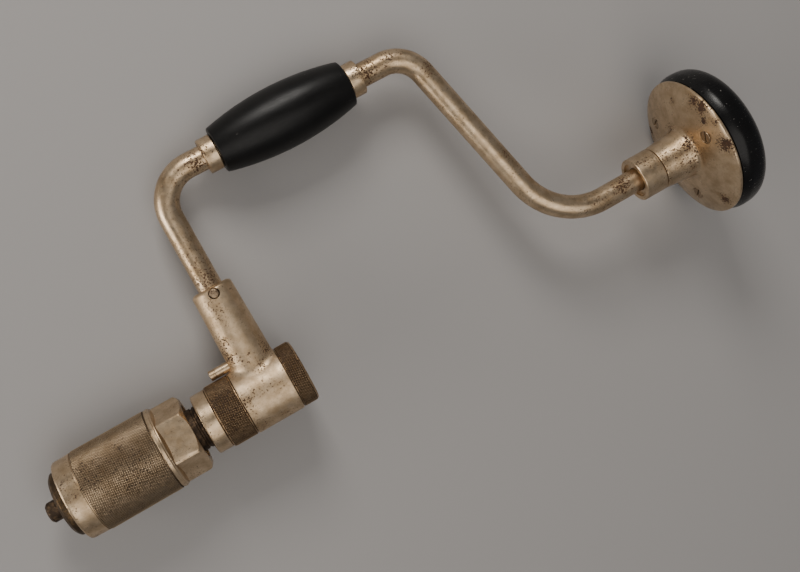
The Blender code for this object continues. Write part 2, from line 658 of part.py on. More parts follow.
# ---------------------------------------------------------------- ratchet housing
def build_housing(frame):
    housing = bar("ratchet_housing", HOUSING_FRONT, HOUSING_REAR, HOUSING_R, 48, NICKEL, frame, GAP)

    root_y = sqrt(HOUSING_R ** 2 - BOSS_ROOT_R ** 2) - WEB
    boss = turned("boss_of_housing", [
        (root_y, 0),
        (root_y, BOSS_ROOT_R),
        (BOSS_TOP - BOSS_EDGE, BOSS_TOP_R),
        (BOSS_TOP, BOSS_TOP_R - BOSS_EDGE),
        (BOSS_TOP, 0),
    ], 32, None, frame)
    turn_to_y(boss)
    combine(housing, boss, "UNION")
    bore = turned("housing_bore", [
        (2 * HOUSING_FRONT, 0),
        (2 * HOUSING_FRONT, SLEEVE_R + GAP),
        (wall_rear_x, SLEEVE_R + GAP),
        (wall_rear_x, HOUSING_BORE_R),
        (2 * HOUSING_REAR, HOUSING_BORE_R),
        (2 * HOUSING_REAR, 0),
    ], 48, None, frame)
    combine(housing, bore, "DIFFERENCE")

    chamber = prism("pawl_chamber", pawl_chamber_outline(), pawl_x - GAP, wheel_rear_x + WEB, None, frame)
    combine(housing, chamber, "DIFFERENCE")
    hub_room_z = PAWL_HUB_R + GAP
    hub_room_low = (pawl_hub_x - GAP, HOUSING_BORE_R, -hub_room_z)
    hub_room_high = (wheel_rear_x + WEB, PIN_Y + PAWL_HUB_R + GAP, hub_room_z)
    combine(housing, block("pawl_hub_room", hub_room_low, hub_room_high, frame), "DIFFERENCE")

    pin_hole = bar("pin_hole", 2 * HOUSING_FRONT, pin_rear_x + GAP, PIN_R + GAP, 20, None, frame)
    pin_hole.location = (0, PIN_Y, 0)
    combine(housing, pin_hole, "DIFFERENCE")

    socket = bar("rod_socket", SOCKET_FLOOR, BOSS_TOP + ROD_R, ROD_R + GAP, ROD_SIDES, None, frame)
    turn_to_y(socket)
    combine(housing, socket, "DIFFERENCE")
    combine(housing, rivet_hole("rivet_hole_in_boss", frame), "DIFFERENCE")

    hole_r = DETENT_R + GAP
    detent_hole = bar("detent_hole", 2 * HOUSING_FRONT, detent_floor_x, hole_r, 12, None, frame)
    detent_hole.location = (0, -detent_circle_r, 0)
    combine(housing, detent_hole, "DIFFERENCE")
    detent_x = HOUSING_FRONT + DETENT_R - DETENT_GROOVE
    ball_outline = [(-DETENT_R, 0)]
    for step in range(1, DETENT_RINGS):
        turn = pi * step / DETENT_RINGS
        ball_outline.append((-DETENT_R * cos(turn), DETENT_R * sin(turn)))
    ball_outline.append((DETENT_R, 0))
    ball = turned("detent_ball", ball_outline, 10, BARE_STEEL, frame)
    ball.location = (detent_x, -detent_circle_r, 0)
    wire_r = DETENT_WIRE_R
    spring_start = Vector((detent_x + DETENT_R + GAP + wire_r, 0, 0))
    spring_length = detent_floor_x - GAP - wire_r - spring_start.x
    spring = coil("detent_spring", spring_start, spring_length, DETENT_R - wire_r, wire_r,
                  DETENT_COILS, SPRING_STEEL, frame)
    spring.location = (0, -detent_circle_r, 0)

    rivet_reach = BOSS_TOP_R
    rivet = bar("frame_rivet", -rivet_reach, rivet_reach, RIVET_R, 16, NICKEL, frame, GAP)
    turn_to_z(rivet)
    rivet.location = (0, BOSS_TOP - RIVET_INSET, 0)

    pin_front_x = -BOSS_ROOT_R - PIN_STAND_OUT
    pin = bar("pawl_pin", pin_front_x, pin_rear_x, PIN_R, 20, BARE_STEEL, frame, GAP)
    pin.location = (0, PIN_Y, 0)

    bore_r = SPINDLE_JOURNAL_R + GAP
    plug_r = HOUSING_BORE_R - GAP
    bore_floor_x = cap_end_x - CAP_BACK
    turned("ratchet_cap", [
        (bore_floor_x, 0),
        (bore_floor_x, bore_r),
        (plug_x, bore_r),
        (plug_x, plug_r),
        (cap_x, plug_r),
        (cap_x, CAP_R - GAP),
        (cap_x + GAP, CAP_R),
        (cap_end_x - GAP, CAP_R),
        (cap_end_x, CAP_R - GAP),
        (cap_end_x, 0),
    ], 48, NICKEL, frame)


def pawl_chamber_outline():
    """Room for the pawls' arms between the wheel and the pin, as (y, z) points."""
    low_y = PIN_Y - tip_drop - PAWL_ARM
    step_y = PIN_Y - PAWL_HUB_R - PAWL_ARM
    wide_z = tip_side + PAWL_ARM + WEB
    knee = ((step_y + PIN_Y - PAWL_HUB_R) / 2, (wide_z + PAWL_HUB_R) / 2 - WEB)
    high = (PIN_Y - PAWL_HUB_R / 2, PAWL_HUB_R + GAP)
    side = [(low_y, wide_z), (step_y, wide_z), knee, high]
    return side + [(y, -z) for y, z in reversed(side)]


# ---------------------------------------------------------------- pawls
def pawl_arm_outline(side, start, end_at_tip):
    """An arm from near the pin to the wheel, as (y, z) points about the pin's axis."""
    along = Vector((-tip_drop, tip_side)).normalized()
    across = Vector((-along.y, along.x))
    half = PAWL_ARM / 2
    reach = PAWL_HUB_R + half
    low = [along * start + across * half]
    high = [along * start - across * half]
    if end_at_tip:
        half_angle = PAWL_TIP_WIDTH / PAWL_TIP_R / 2
        for edge, angle in ((low, PAWL_TIP_ANGLE - half_angle), (high, PAWL_TIP_ANGLE + half_angle)):
            for radius in (pawl_elbow_r, PAWL_TIP_R):
                edge.append(Vector((radius * cos(angle) - PIN_Y, radius * sin(angle))))
    else:
        low.append(along * reach + across * half)
        high.append(along * reach - across * half)
    return [(point.x, side * point.y) for point in low + high[::-1]]


def build_pawl(name, side, hub_front_x, hub_rear_x, parent):
    """A pawl on the pin: its hub is half as wide as its arm, which spans cam and wheel."""
    hub = turned(name, [
        (hub_front_x, PIN_R + GAP),
        (hub_front_x, PAWL_HUB_R),
        (hub_rear_x, PAWL_HUB_R),
        (hub_rear_x, PIN_R + GAP),
    ], 24, BARE_STEEL, parent)
    root = prism(f"root_of_{name}", pawl_arm_outline(side, PIN_R + 2 * GAP, False),
                 hub_front_x, hub_rear_x, None, parent)
    arm = prism(f"arm_of_{name}", pawl_arm_outline(side, PAWL_HUB_R + WEB, True),
                pawl_x, wheel_rear_x, None, parent)
    combine(hub, root, "UNION")
    combine(hub, arm, "UNION")


def build_pawls(pawl_drive, pawl_reverse):
    spring_x = (pawl_hub_x + wheel_rear_x - PAWL_SPRING_WIDTH) / 2
    build_pawl("pawl_drive", 1, pawl_hub_x, spring_x - GAP, pawl_drive)
    build_pawl("pawl_reverse", -1, spring_x + PAWL_SPRING_WIDTH + GAP, wheel_rear_x, pawl_reverse)

    spring = turned("pawl_spring", [
        (spring_x, PIN_R + GAP),
        (spring_x, PIN_R + GAP + PAWL_SPRING_WIRE),
        (spring_x + PAWL_SPRING_WIDTH, PIN_R + GAP + PAWL_SPRING_WIRE),
        (spring_x + PAWL_SPRING_WIDTH, PIN_R + GAP),
    ], 24, SPRING_STEEL, pawl_drive)
    along = Vector((-tip_drop, tip_side)).normalized()
    outward = Vector((along.y, -along.x))
    root = outward * (PIN_R + GAP)
    end = along * (pawl_length - 2 * PAWL_ARM) + outward * (PAWL_ARM / 2 + GAP)
    thickness = outward * PAWL_SPRING_WIRE
    corners = [root, end, end + thickness, root + thickness]
    for side, leg_name in ((1, "spring_leg_drive"), (-1, "spring_leg_reverse")):
        outline = [(point.x, side * point.y) for point in corners]
        leg = prism(leg_name, outline, spring_x, spring_x + PAWL_SPRING_WIDTH, None, pawl_drive)
        combine(spring, leg, "UNION")


# ---------------------------------------------------------------- selector
def cam_radius(angle):
    """A hump between the pawls that falls away evenly under each of them."""
    away = abs((angle + pi) % (2 * pi) - pi)
    slope = pawl_lift / SELECTOR_THROW
    margin = SELECTOR_THROW * 4 / 3
    reach = min(max(away - PAWL_TIP_ANGLE, -margin), margin)
    return CAM_R - slope * reach


def build_selector(selector):
    edge = SELECTOR_EDGE
    bore_r = SPINDLE_JOURNAL_R + GAP
    groove_low = detent_circle_r - DETENT_R - GAP
    groove_high = detent_circle_r + DETENT_R + GAP
    groove_x = selector_rear_x - DETENT_GROOVE
    ring = turned("selector_ring", [
        (selector_x, bore_r),
        (selector_x, SELECTOR_R - edge),
        (selector_x + edge, SELECTOR_R),
        (selector_rear_x - edge, SELECTOR_R),
        (selector_rear_x, SELECTOR_R - edge),
        (selector_rear_x, groove_high),
        (groove_x, groove_high),
        (groove_x, groove_low),
        (selector_rear_x, groove_low),
        (selector_rear_x, SLEEVE_R),
        (wall_rear_x, SLEEVE_R),
        (wall_rear_x, CAM_SEAT_R),
        (cam_rear_x, CAM_SEAT_R),
        (cam_rear_x, bore_r),
    ], 48, NICKEL, selector)
    for index in (-1, 0, 1):
        angle = pi + index * SELECTOR_THROW
        pocket = bar(f"detent_pocket_{index + 2}", groove_x - DETENT_POCKET, HOUSING_FRONT,
                     DETENT_R, 10, None, selector)
        pocket.location = (0, detent_circle_r * cos(angle), detent_circle_r * sin(angle))
        combine(ring, pocket, "DIFFERENCE")
    turned("selector_cam", [
        (cam_x, CAM_SEAT_R + GAP),
        (cam_x, cam_radius),
        (cam_rear_x, cam_radius),
        (cam_rear_x, CAM_SEAT_R + GAP),
    ], 72, BARE_STEEL, selector)


# ---------------------------------------------------------------- spindle
def build_wheel(spindle):
    """Symmetric teeth with a gap facing each pawl, so that it works both ways."""
    pitch = 2 * pi / TEETH
    outline = []
    for tooth in range(TEETH):
        middle = pitch * tooth
        for reach, radius in ((TOOTH_GAP_TOP, WHEEL_TIP_R), (TOOTH_GAP_ROOT, WHEEL_ROOT_R)):
            outline.append((middle - reach / 2, radius))
        for reach, radius in ((TOOTH_GAP_ROOT, WHEEL_ROOT_R), (TOOTH_GAP_TOP, WHEEL_TIP_R)):
            outline.append((middle + reach / 2, radius))
    mesh_data = bmesh.new()
    rings = []
    bore_r = SPINDLE_JOURNAL_R + GAP
    for x, is_bore in ((wheel_x, True), (wheel_x, False), (wheel_rear_x, False), (wheel_rear_x, True)):
        ring = []
        for angle, radius in outline:
            reach = bore_r if is_bore else radius
            ring.append(mesh_data.verts.new((x, reach * cos(angle), reach * sin(angle))))
        rings.append(ring)
    for index, ring in enumerate(rings):
        bridge(mesh_data, ring, rings[(index + 1) % len(rings)])
    finish_mesh("ratchet_wheel", mesh_data, BARE_STEEL, spindle)


def build_spindle(spindle):
    journal_rear_x = cap_end_x - CAP_BACK - WEB
    seat_x = spindle_collar_x + SPINDLE_COLLAR_WIDTH
    chamfer = 2 * GAP
    body = turned("chuck_spindle", [
        (spindle_bore_x, 0),
        (spindle_bore_x, SPINDLE_BORE_R),
        (spindle_x, SPINDLE_BORE_R),
        (spindle_x, SPINDLE_THREAD_R - chamfer),
        (spindle_x + chamfer, SPINDLE_THREAD_R),
        (thread_rear_x, SPINDLE_THREAD_R),
        (thread_rear_x, SPINDLE_NECK_R),
        (spindle_collar_x - GAP, SPINDLE_NECK_R),
        (spindle_collar_x - GAP, SPINDLE_COLLAR_SEAT_R),
        (seat_x, SPINDLE_COLLAR_SEAT_R),
        (seat_x, SPINDLE_JOURNAL_R),
        (journal_rear_x, SPINDLE_JOURNAL_R),
        (journal_rear_x, 0),
    ], 40, DARK_STEEL, spindle)
    half_slot = JAW_HALF_WIDTH + GAP
    wide = 2 * SPINDLE_THREAD_R
    slot = block("jaw_slot", (spindle_x - SLOT_DEPTH, -half_slot, -wide),
                 (spindle_x + SLOT_DEPTH, half_slot, wide), spindle)
    combine(body, slot, "DIFFERENCE")

    edge = SELECTOR_EDGE
    turned("spindle_collar", [
        (spindle_collar_x, SPINDLE_COLLAR_SEAT_R + GAP),
        (spindle_collar_x, SPINDLE_COLLAR_R - edge),
        (spindle_collar_x + edge, SPINDLE_COLLAR_R),
        (seat_x - GAP, SPINDLE_COLLAR_R),
        (seat_x, SPINDLE_COLLAR_R - GAP),
        (seat_x, SPINDLE_COLLAR_SEAT_R + GAP),
    ], 48, NICKEL, spindle)
    build_wheel(spindle)
    washer_front_x = wheel_rear_x + GAP
    turned("thrust_washer", [
        (washer_front_x, SPINDLE_JOURNAL_R + GAP),
        (washer_front_x, WHEEL_ROOT_R),
        (washer_front_x + THRUST_WASHER, WHEEL_ROOT_R),
        (washer_front_x + THRUST_WASHER, SPINDLE_JOURNAL_R + GAP),
    ], 28, BARE_STEEL, spindle)


# ---------------------------------------------------------------- chuck
def build_shell(shell):
    knurl_x = shell_x + NOSE_LENGTH
    edge = LIP_THICKNESS / 2
    turned("chuck_shell", [
        (shell_x, LIP_R),
        (shell_x, NOSE_R - edge),
        (shell_x + edge * (1 - cos(pi / 4)), NOSE_R - edge * (1 - sin(pi / 4))),
        (shell_x + edge, NOSE_R),
        (knurl_x, SHELL_R - GAP),
        (knurl_x + GAP, SHELL_R),
        (shell_rear_x - GAP, SHELL_R),
        (shell_rear_x, SHELL_R - GAP),
        (shell_rear_x, SHELL_BORE_R),
        (lip_rear_x, SHELL_BORE_R),
        (lip_rear_x, LIP_R),
    ], 48, NICKEL, shell)

    side = hexagon(HEX_ACROSS_FLATS, HEX_PHASE)
    corner_r = HEX_ACROSS_FLATS / 2 / cos(pi / 6)

    def chamfered_side(angle):
        return min(side(angle), corner_r - HEX_CHAMFER)

    def rear_edge(angle):
        return min(side(angle), HEX_ACROSS_FLATS / 2)

    bore_r = SPINDLE_THREAD_R + GAP
    spigot_r = SHELL_BORE_R - GAP
    bevel = FLANGE_WIDTH / 6
    turned("wrench_nut", [
        (flange_x - NUT_SPIGOT, bore_r),
        (flange_x - NUT_SPIGOT, spigot_r),
        (flange_x, spigot_r),
        (flange_x, FLANGE_R - GAP),
        (flange_x + GAP, FLANGE_R),
        (hex_x - bevel, FLANGE_R),
        (hex_x, FLANGE_R - bevel),
        (hex_x, side),
        (hex_rear_x - HEX_CHAMFER, side),
        (hex_rear_x - HEX_CHAMFER / 2, chamfered_side),
        (hex_rear_x, rear_edge),
        (hex_rear_x, bore_r),
    ], 72, NICKEL, shell)


def build_cone(cone):
    taper_start = (taper_x, CONE_MOUTH_R)
    taper_end = (taper_rear_x, cone_wide_r)
    throat_r = SPINDLE_THREAD_R + 2 * GAP
    turned("cone_ring", [
        (cone_x, CONE_MOUTH_R),
        (cone_x, snout_r - CONE_EDGE),
        (cone_x + CONE_EDGE, snout_r),
        (cone_flange_x, snout_r),
        (cone_flange_x, SHELL_BORE_R - GAP),
        (cone_rear_x, SHELL_BORE_R - GAP),
        (cone_rear_x, throat_r),
        taper_end,
        taper_start,
    ], 48, DARK_STEEL, cone)
    ball_x = (lip_rear_x + cone_flange_x) / 2
    ball_circle_r = (snout_r + SHELL_BORE_R) / 2
    bead_ring("chuck_bearing", ball_x, ball_circle_r, CHUCK_BALL_R, CHUCK_BALLS, 4,
              BARE_STEEL, cone)


def build_jaw(name, side, parent):
    """Half of a tapered bar, flat on its flanks and cut square for the bit's tang."""
    tail_r = JAW_HALF_WIDTH - GAP / 2
    jaw = turned(name, [
        (jaw_tip_x, 0),
        (jaw_tip_x, JAW_TIP_R - JAW_TIP_CHAMFER),
        (jaw_tip_x + JAW_TIP_CHAMFER, JAW_TIP_R),
        (taper_x - GAP, JAW_TIP_R),
        (taper_x, CONE_MOUTH_R - GAP),
        (taper_rear_x, jaw_wide_r),
        (shoulder_rear_x, jaw_wide_r),
        (shoulder_rear_x, tail_r),
        (tail_rear_x, tail_r),
        (tail_rear_x, 0),
    ], 32, DARK_STEEL, parent)
    near = side * JAW_SPLIT / 2
    far = side * 2 * jaw_wide_r
    half = block(f"half_of_{name}", (jaw_tip_x - ROD_R, -JAW_HALF_WIDTH, min(near, far)),
                 (tail_rear_x + ROD_R, JAW_HALF_WIDTH, max(near, far)), parent)
    combine(jaw, half, "INTERSECT")
    hole = JAW_SOCKET / 2
    socket = block(f"socket_of_{name}", (jaw_tip_x - ROD_R, -hole, -hole),
                   (shoulder_rear_x, hole, hole), parent)
    combine(jaw, socket, "DIFFERENCE")


def build_jaw_spring(spindle):
    half = JAW_SPRING_THICKNESS / 2
    wide = JAW_HALF_WIDTH / 2
    block("jaw_spring", (shoulder_rear_x + GAP, -wide, -half), (tail_rear_x, wide, half),
          spindle, SPRING_STEEL)


# ---------------------------------------------------------------- rest on the table
def lie_on_table(brace):
    """Turn and lift the tool so that head, handle and chuck all touch z = 0.

    The tool's bounding box is then centred over the origin.
    """
    pitch, chuck_x, chuck_r = min(
        (atan((KNOB_R - radius) / (knob_wide_x - x)), x, radius)
        for x, radius in ((shell_x + LIP_THICKNESS / 2, NOSE_R), (shell_x + NOSE_LENGTH + GAP, SHELL_R)))
    handle_mid_x = handle_x + HANDLE_LENGTH / 2
    axis_over_table = chuck_r * cos(pitch) + (handle_mid_x - chuck_x) * sin(pitch)
    arc_r = barrel_arc_radius()
    barrel_drop = arc_r - (arc_r - HANDLE_MID_R) * cos(pitch)
    roll = asin((axis_over_table - barrel_drop) / THROW / cos(pitch))
    brace.matrix_world = Matrix.Rotation(-pitch, 4, "Y") @ Matrix.Rotation(-roll, 4, "X")
    bpy.context.view_layer.update()

    graph = bpy.context.evaluated_depsgraph_get()
    corners = []
    for item in bpy.context.scene.objects:
        if item.type == "MESH" and not item.hide_render:
            shape = item.evaluated_get(graph)
            corners += [item.matrix_world @ vertex.co for vertex in shape.data.vertices]
    low = [min(corner[axis] for corner in corners) for axis in range(3)]
    high = [max(corner[axis] for corner in corners) for axis in range(3)]
    shift = Vector((-(low[0] + high[0]) / 2, -(low[1] + high[1]) / 2, -low[2]))
    brace.matrix_world = Matrix.Translation(shift) @ brace.matrix_world


# ---------------------------------------------------------------- assembly
def build_brace():
    clear_scene()
    brace = axis_empty("brace", None)
    frame = axis_empty("frame_axes", brace)
    head = axis_empty("head_axis", brace)
    handle = axis_empty("handle_axis", brace, (0, THROW, 0))
    spindle = axis_empty("spindle_axis", brace)
    selector = axis_empty("selector_axis", brace)
    pawl_drive = axis_empty("pawl_drive_axis", brace, (0, PIN_Y, 0))
    pawl_reverse = axis_empty("pawl_reverse_axis", brace, (0, PIN_Y, 0))
    cone = axis_empty("cone_axis", spindle)
    shell = axis_empty("shell_axis", cone)
    jaw_near = axis_empty("jaw_near_axis", spindle)
    jaw_far = axis_empty("jaw_far_axis", spindle)

    build_frame(frame)
    build_housing(frame)
    build_handle(handle)
    build_head(head, frame)
    build_selector(selector)
    build_pawls(pawl_drive, pawl_reverse)
    build_spindle(spindle)
    build_cone(cone)
    build_shell(shell)
    build_jaw("jaw_near", 1, jaw_near)
    build_jaw("jaw_far", -1, jaw_far)
    build_jaw_spring(spindle)
    lie_on_table(brace)


build_brace()
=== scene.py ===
# %% [markdown]
# # A carpenter's ratchet brace
# This script dresses a finished CAD model of a bit brace: the crank that a carpenter swings
# round, the pad head that the chest leans on, the ratchet and the chuck. The CAD model fixes
# every size and every joint. Here each visible piece gets a finer mesh, and every piece gets
# a finish: worn nickel plate with rust in its pits, dark oiled steel, and black composition.

import json
from math import cos, exp, pi, radians, sin, sqrt, tan

import bmesh
import bpy
from mathutils import Matrix, Vector


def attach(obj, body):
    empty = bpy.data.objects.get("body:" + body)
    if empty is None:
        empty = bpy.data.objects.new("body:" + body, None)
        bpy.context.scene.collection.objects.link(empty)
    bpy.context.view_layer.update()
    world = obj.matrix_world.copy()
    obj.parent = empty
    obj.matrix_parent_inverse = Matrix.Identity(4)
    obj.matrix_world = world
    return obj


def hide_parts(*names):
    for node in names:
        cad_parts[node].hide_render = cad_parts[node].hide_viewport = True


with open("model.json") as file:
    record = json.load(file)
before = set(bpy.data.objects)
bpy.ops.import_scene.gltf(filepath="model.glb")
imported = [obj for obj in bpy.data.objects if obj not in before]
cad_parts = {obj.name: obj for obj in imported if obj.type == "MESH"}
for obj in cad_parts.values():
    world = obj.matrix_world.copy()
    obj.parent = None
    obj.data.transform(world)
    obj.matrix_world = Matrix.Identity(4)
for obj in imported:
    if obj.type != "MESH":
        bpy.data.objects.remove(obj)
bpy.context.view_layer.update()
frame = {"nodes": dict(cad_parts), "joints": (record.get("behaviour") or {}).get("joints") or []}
MM = 0.001
print("CAD nodes:", len(frame["nodes"]))

# %% [markdown]
# ## The tool's own axes
# The brace lies tilted on the table, so world axes are awkward to model in. Every piece is
# made in the tool's axes instead: X along the main axis from chuck to head, Y towards the
# sweep handle, Z square to both. The joints say where those axes are. A piece is turned into
# place in its mesh, so its object stays at the origin.

# %% Tool axes from the joints
joints = {joint["name"]: joint for joint in frame["joints"]}
main_point = Vector(joints["spindle_spin"]["pos_m"])
handle_point = Vector(joints["handle_spin"]["pos_m"])
pin_point = Vector(joints["pawl_drive_rock"]["pos_m"])
axis_x = Vector(joints["spindle_spin"]["axis"]).normalized()
to_handle = handle_point - main_point
axis_y = (to_handle - axis_x * to_handle.dot(axis_x)).normalized()
axis_z = axis_x.cross(axis_y)
tool = Matrix((axis_x, axis_y, axis_z)).transposed().to_4x4()
tool.translation = main_point
to_tool = tool.inverted()
THROW = (to_tool @ handle_point).y
PIN_Y = (to_tool @ pin_point).y
print(f"sweep {2000 * THROW:.1f} mm")


def span(node):
    """Lowest and highest corner of a CAD node, in the tool's axes."""
    places = [to_tool @ vertex.co for vertex in frame["nodes"][node].data.vertices]
    low = Vector([min(place[side] for place in places) for side in range(3)])
    high = Vector([max(place[side] for place in places) for side in range(3)])
    return low, high


# %% [markdown]
# ## Turned pieces
# Most of a brace is turned on a lathe, so one helper turns an outline of (x, radius) points
# about the X axis. A real edge is never razor sharp, and a small rounding is what catches the
# light, so a point may carry a third value: the radius that its corner is rounded to. Two
# extra rings beside each rounding keep the smooth shading flat on the long faces.

# %% Outline helpers
ROUND_STEPS = 4
SUPPORT = 0.12 * MM
SHARP_DEGREES = 32


def rounded(outline, closed):
    """Round the corners whose point has a third value."""
    points = []
    count = len(outline)
    for index, point in enumerate(outline):
        here = Vector(point[:2])
        wanted = point[2] if len(point) > 2 else 0.0
        is_end = not closed and index in (0, count - 1)
        if wanted == 0 or is_end:
            points.append(here)
            continue
        before = Vector(outline[index - 1][:2]) - here
        after = Vector(outline[(index + 1) % count][:2]) - here
        reach = min(wanted, 0.42 * before.length, 0.42 * after.length)
        start = here + before.normalized() * reach
        end = here + after.normalized() * reach
        spare = min(SUPPORT, 0.05 * before.length, 0.05 * after.length)
        points.append(start + before.normalized() * spare)
        for step in range(ROUND_STEPS + 1):
            part = step / ROUND_STEPS
            points.append((1 - part) ** 2 * start + 2 * part * (1 - part) * here + part ** 2 * end)
        points.append(end + after.normalized() * spare)
    return points


def new_object(name, mesh_data):
    """An object from a bmesh, with its normals pointing out."""
    bmesh.ops.recalc_face_normals(mesh_data, faces=mesh_data.faces)
    mesh = bpy.data.meshes.new(name)
    mesh_data.to_mesh(mesh)
    mesh_data.free()
    item = bpy.data.objects.new(name, mesh)
    bpy.context.scene.collection.objects.link(item)
    smooth(item)
    return item


def smooth(item):
    """Smooth shading with the real edges kept sharp."""
    item.data.shade_smooth()
    item.data.set_sharp_from_angle(angle=radians(SHARP_DEGREES))


def join_rings(mesh_data, ring_a, ring_b):
    """Join two rings with faces; a ring of one point is a pole."""
    count = max(len(ring_a), len(ring_b))
    for step in range(count):
        after = (step + 1) % count
        near = [ring_a[0]] if len(ring_a) == 1 else [ring_a[step], ring_a[after]]
        far = [ring_b[0]] if len(ring_b) == 1 else [ring_b[after], ring_b[step]]
        mesh_data.faces.new(near + far)


def turned(name, outline, segments=128, place=(0.0, 0.0, 0.0), along="X"):
    """A piece turned about X, then pointed along X, Y or Z from a place in the tool's axes."""
    closed = outline[0][1] > 0
    mesh_data = bmesh.new()
    rings = []
    for x, radius in rounded(outline, closed):
        if radius < 1e-7:
            rings.append([mesh_data.verts.new((x, 0, 0))])
            continue
        ring = []
        for step in range(segments):
            angle = 2 * pi * step / segments
            ring.append(mesh_data.verts.new((x, radius * cos(angle), radius * sin(angle))))
        rings.append(ring)
    for ring_a, ring_b in zip(rings, rings[1:]):
        join_rings(mesh_data, ring_a, ring_b)
    if closed:
        join_rings(mesh_data, rings[-1], rings[0])
    turns = {
        "X": Matrix(),
        "Y": Matrix.Rotation(pi / 2, 4, "Z"),
        "Z": Matrix.Rotation(-pi / 2, 4, "Y"),
    }
    placed = Matrix.Translation(place) @ turns[along]
    bmesh.ops.transform(mesh_data, matrix=placed, verts=mesh_data.verts)
    return new_object(name, mesh_data)


def box(name, middle, size):
    """A box with the given middle and edge lengths."""
    mesh_data = bmesh.new()
    bmesh.ops.create_cube(mesh_data, size=1.0)
    placed = Matrix.Translation(middle) @ Matrix.Diagonal((*size, 1.0))
    bmesh.ops.transform(mesh_data, matrix=placed, verts=mesh_data.verts)
    return new_object(name, mesh_data)


def cut(item, cutter, operation="DIFFERENCE"):
    """Apply a Boolean and throw the cutter away."""
    modifier = item.modifiers.new("cut", "BOOLEAN")
    modifier.operation = operation
    modifier.object = cutter
    modifier.solver = "EXACT"
    item.data = evaluated_mesh(item)
    item.modifiers.clear()
    bpy.data.objects.remove(cutter, do_unlink=True)


def evaluated_mesh(item):
    graph = bpy.context.evaluated_depsgraph_get()
    graph.update()
    return bpy.data.meshes.new_from_object(item.evaluated_get(graph), depsgraph=graph)


def soften(item, width, sharpest):
    """Bevel the edges that turn by more than an angle in degrees."""
    bevel = item.modifiers.new("soft_edges", "BEVEL")
    bevel.width = width
    bevel.segments = 2
    bevel.limit_method = "ANGLE"
    bevel.angle_limit = radians(sharpest)
    bevel.harden_normals = True
    item.data = evaluated_mesh(item)
    item.modifiers.clear()


def join(items):
    """Join several objects into the first one."""
    mesh_data = bmesh.new()
    for item in items:
        mesh_data.from_mesh(item.data)
    mesh_data.to_mesh(items[0].data)
    mesh_data.free()
    for item in items[1:]:
        bpy.data.objects.remove(item, do_unlink=True)
    return items[0]


# %% [markdown]
# ## Finishes
# All finishes are node trees. Their patterns run on the object's coordinates, turned into the
# tool's axes by a Mapping node, so that tool marks can run round or along a piece. Rust is a
# fine noise cut off at a threshold. A second, coarse noise moves the threshold, so the pits
# gather in patches as they do on an old plated tool, and a painted attribute called
# "tarnish" adds more where sweat and damp sit: at joints, in bends and round the neck.

# %% Node helpers
def add_node(tree, kind, values=None, **settings):
    """A node with its settings and input values; a value may be another node's output."""
    made = tree.nodes.new(kind)
    for key, value in settings.items():
        setattr(made, key, value)
    for key, value in (values or {}).items():
        if isinstance(value, bpy.types.NodeSocket):
            tree.links.new(value, made.inputs[key])
        else:
            made.inputs[key].default_value = value
    return made


def calc(tree, operation, first, second=0.0, clamp=False):
    """A sum or a comparison, as a Math node."""
    return add_node(tree, "ShaderNodeMath", {0: first, 1: second}, operation=operation,
                    use_clamp=clamp).outputs[0]


def ramp(tree, value, low, high, to_low=0.0, to_high=1.0):
    """A value stretched from one range to another, and held at its ends."""
    return add_node(tree, "ShaderNodeMapRange", {
        "Value": value, "From Min": low, "From Max": high, "To Min": to_low, "To Max": to_high,
    }).outputs[0]


def mix_colour(tree, factor, first, second):
    mixer = add_node(tree, "ShaderNodeMix", data_type="RGBA")
    for index, value in ((0, factor), (6, first), (7, second)):
        if isinstance(value, bpy.types.NodeSocket):
            tree.links.new(value, mixer.inputs[index])
        else:
            mixer.inputs[index].default_value = value if index == 0 else (*value, 1.0)
    return mixer.outputs[2]


def tool_coordinates(tree, stretch=(1.0, 1.0, 1.0)):
    """Object coordinates turned into the tool's axes, and stretched if asked."""
    source = add_node(tree, "ShaderNodeTexCoord").outputs["Object"]
    straight = add_node(tree, "ShaderNodeMapping", {
        "Vector": source, "Location": tool.translation, "Rotation": tool.to_euler(),
    }, vector_type="TEXTURE").outputs[0]
    if stretch == (1.0, 1.0, 1.0):
        return straight
    return add_node(tree, "ShaderNodeMapping", {"Vector": straight, "Scale": stretch}).outputs[0]


def noise(tree, coordinates, size, detail=3.0, roughness=0.55):
    """Noise whose features are about the given size in metres."""
    return add_node(tree, "ShaderNodeTexNoise", {
        "Vector": coordinates, "Scale": 1 / size, "Detail": detail, "Roughness": roughness,
    }).outputs["Fac"]


def new_material(name):
    material = bpy.data.materials.new(name)
    material.use_nodes = True
    shader = material.node_tree.nodes["Principled BSDF"]
    return material, material.node_tree, shader


# %% Rust
CLEAN = (0.66, 0.505, 0.335)
DULL = (0.40, 0.28, 0.16)
RUST = (0.085, 0.036, 0.013)
STAIN_SHARE = 0.4
PATCH_SIZE = 11 * MM
BLOTCH_SIZE = 2.4 * MM


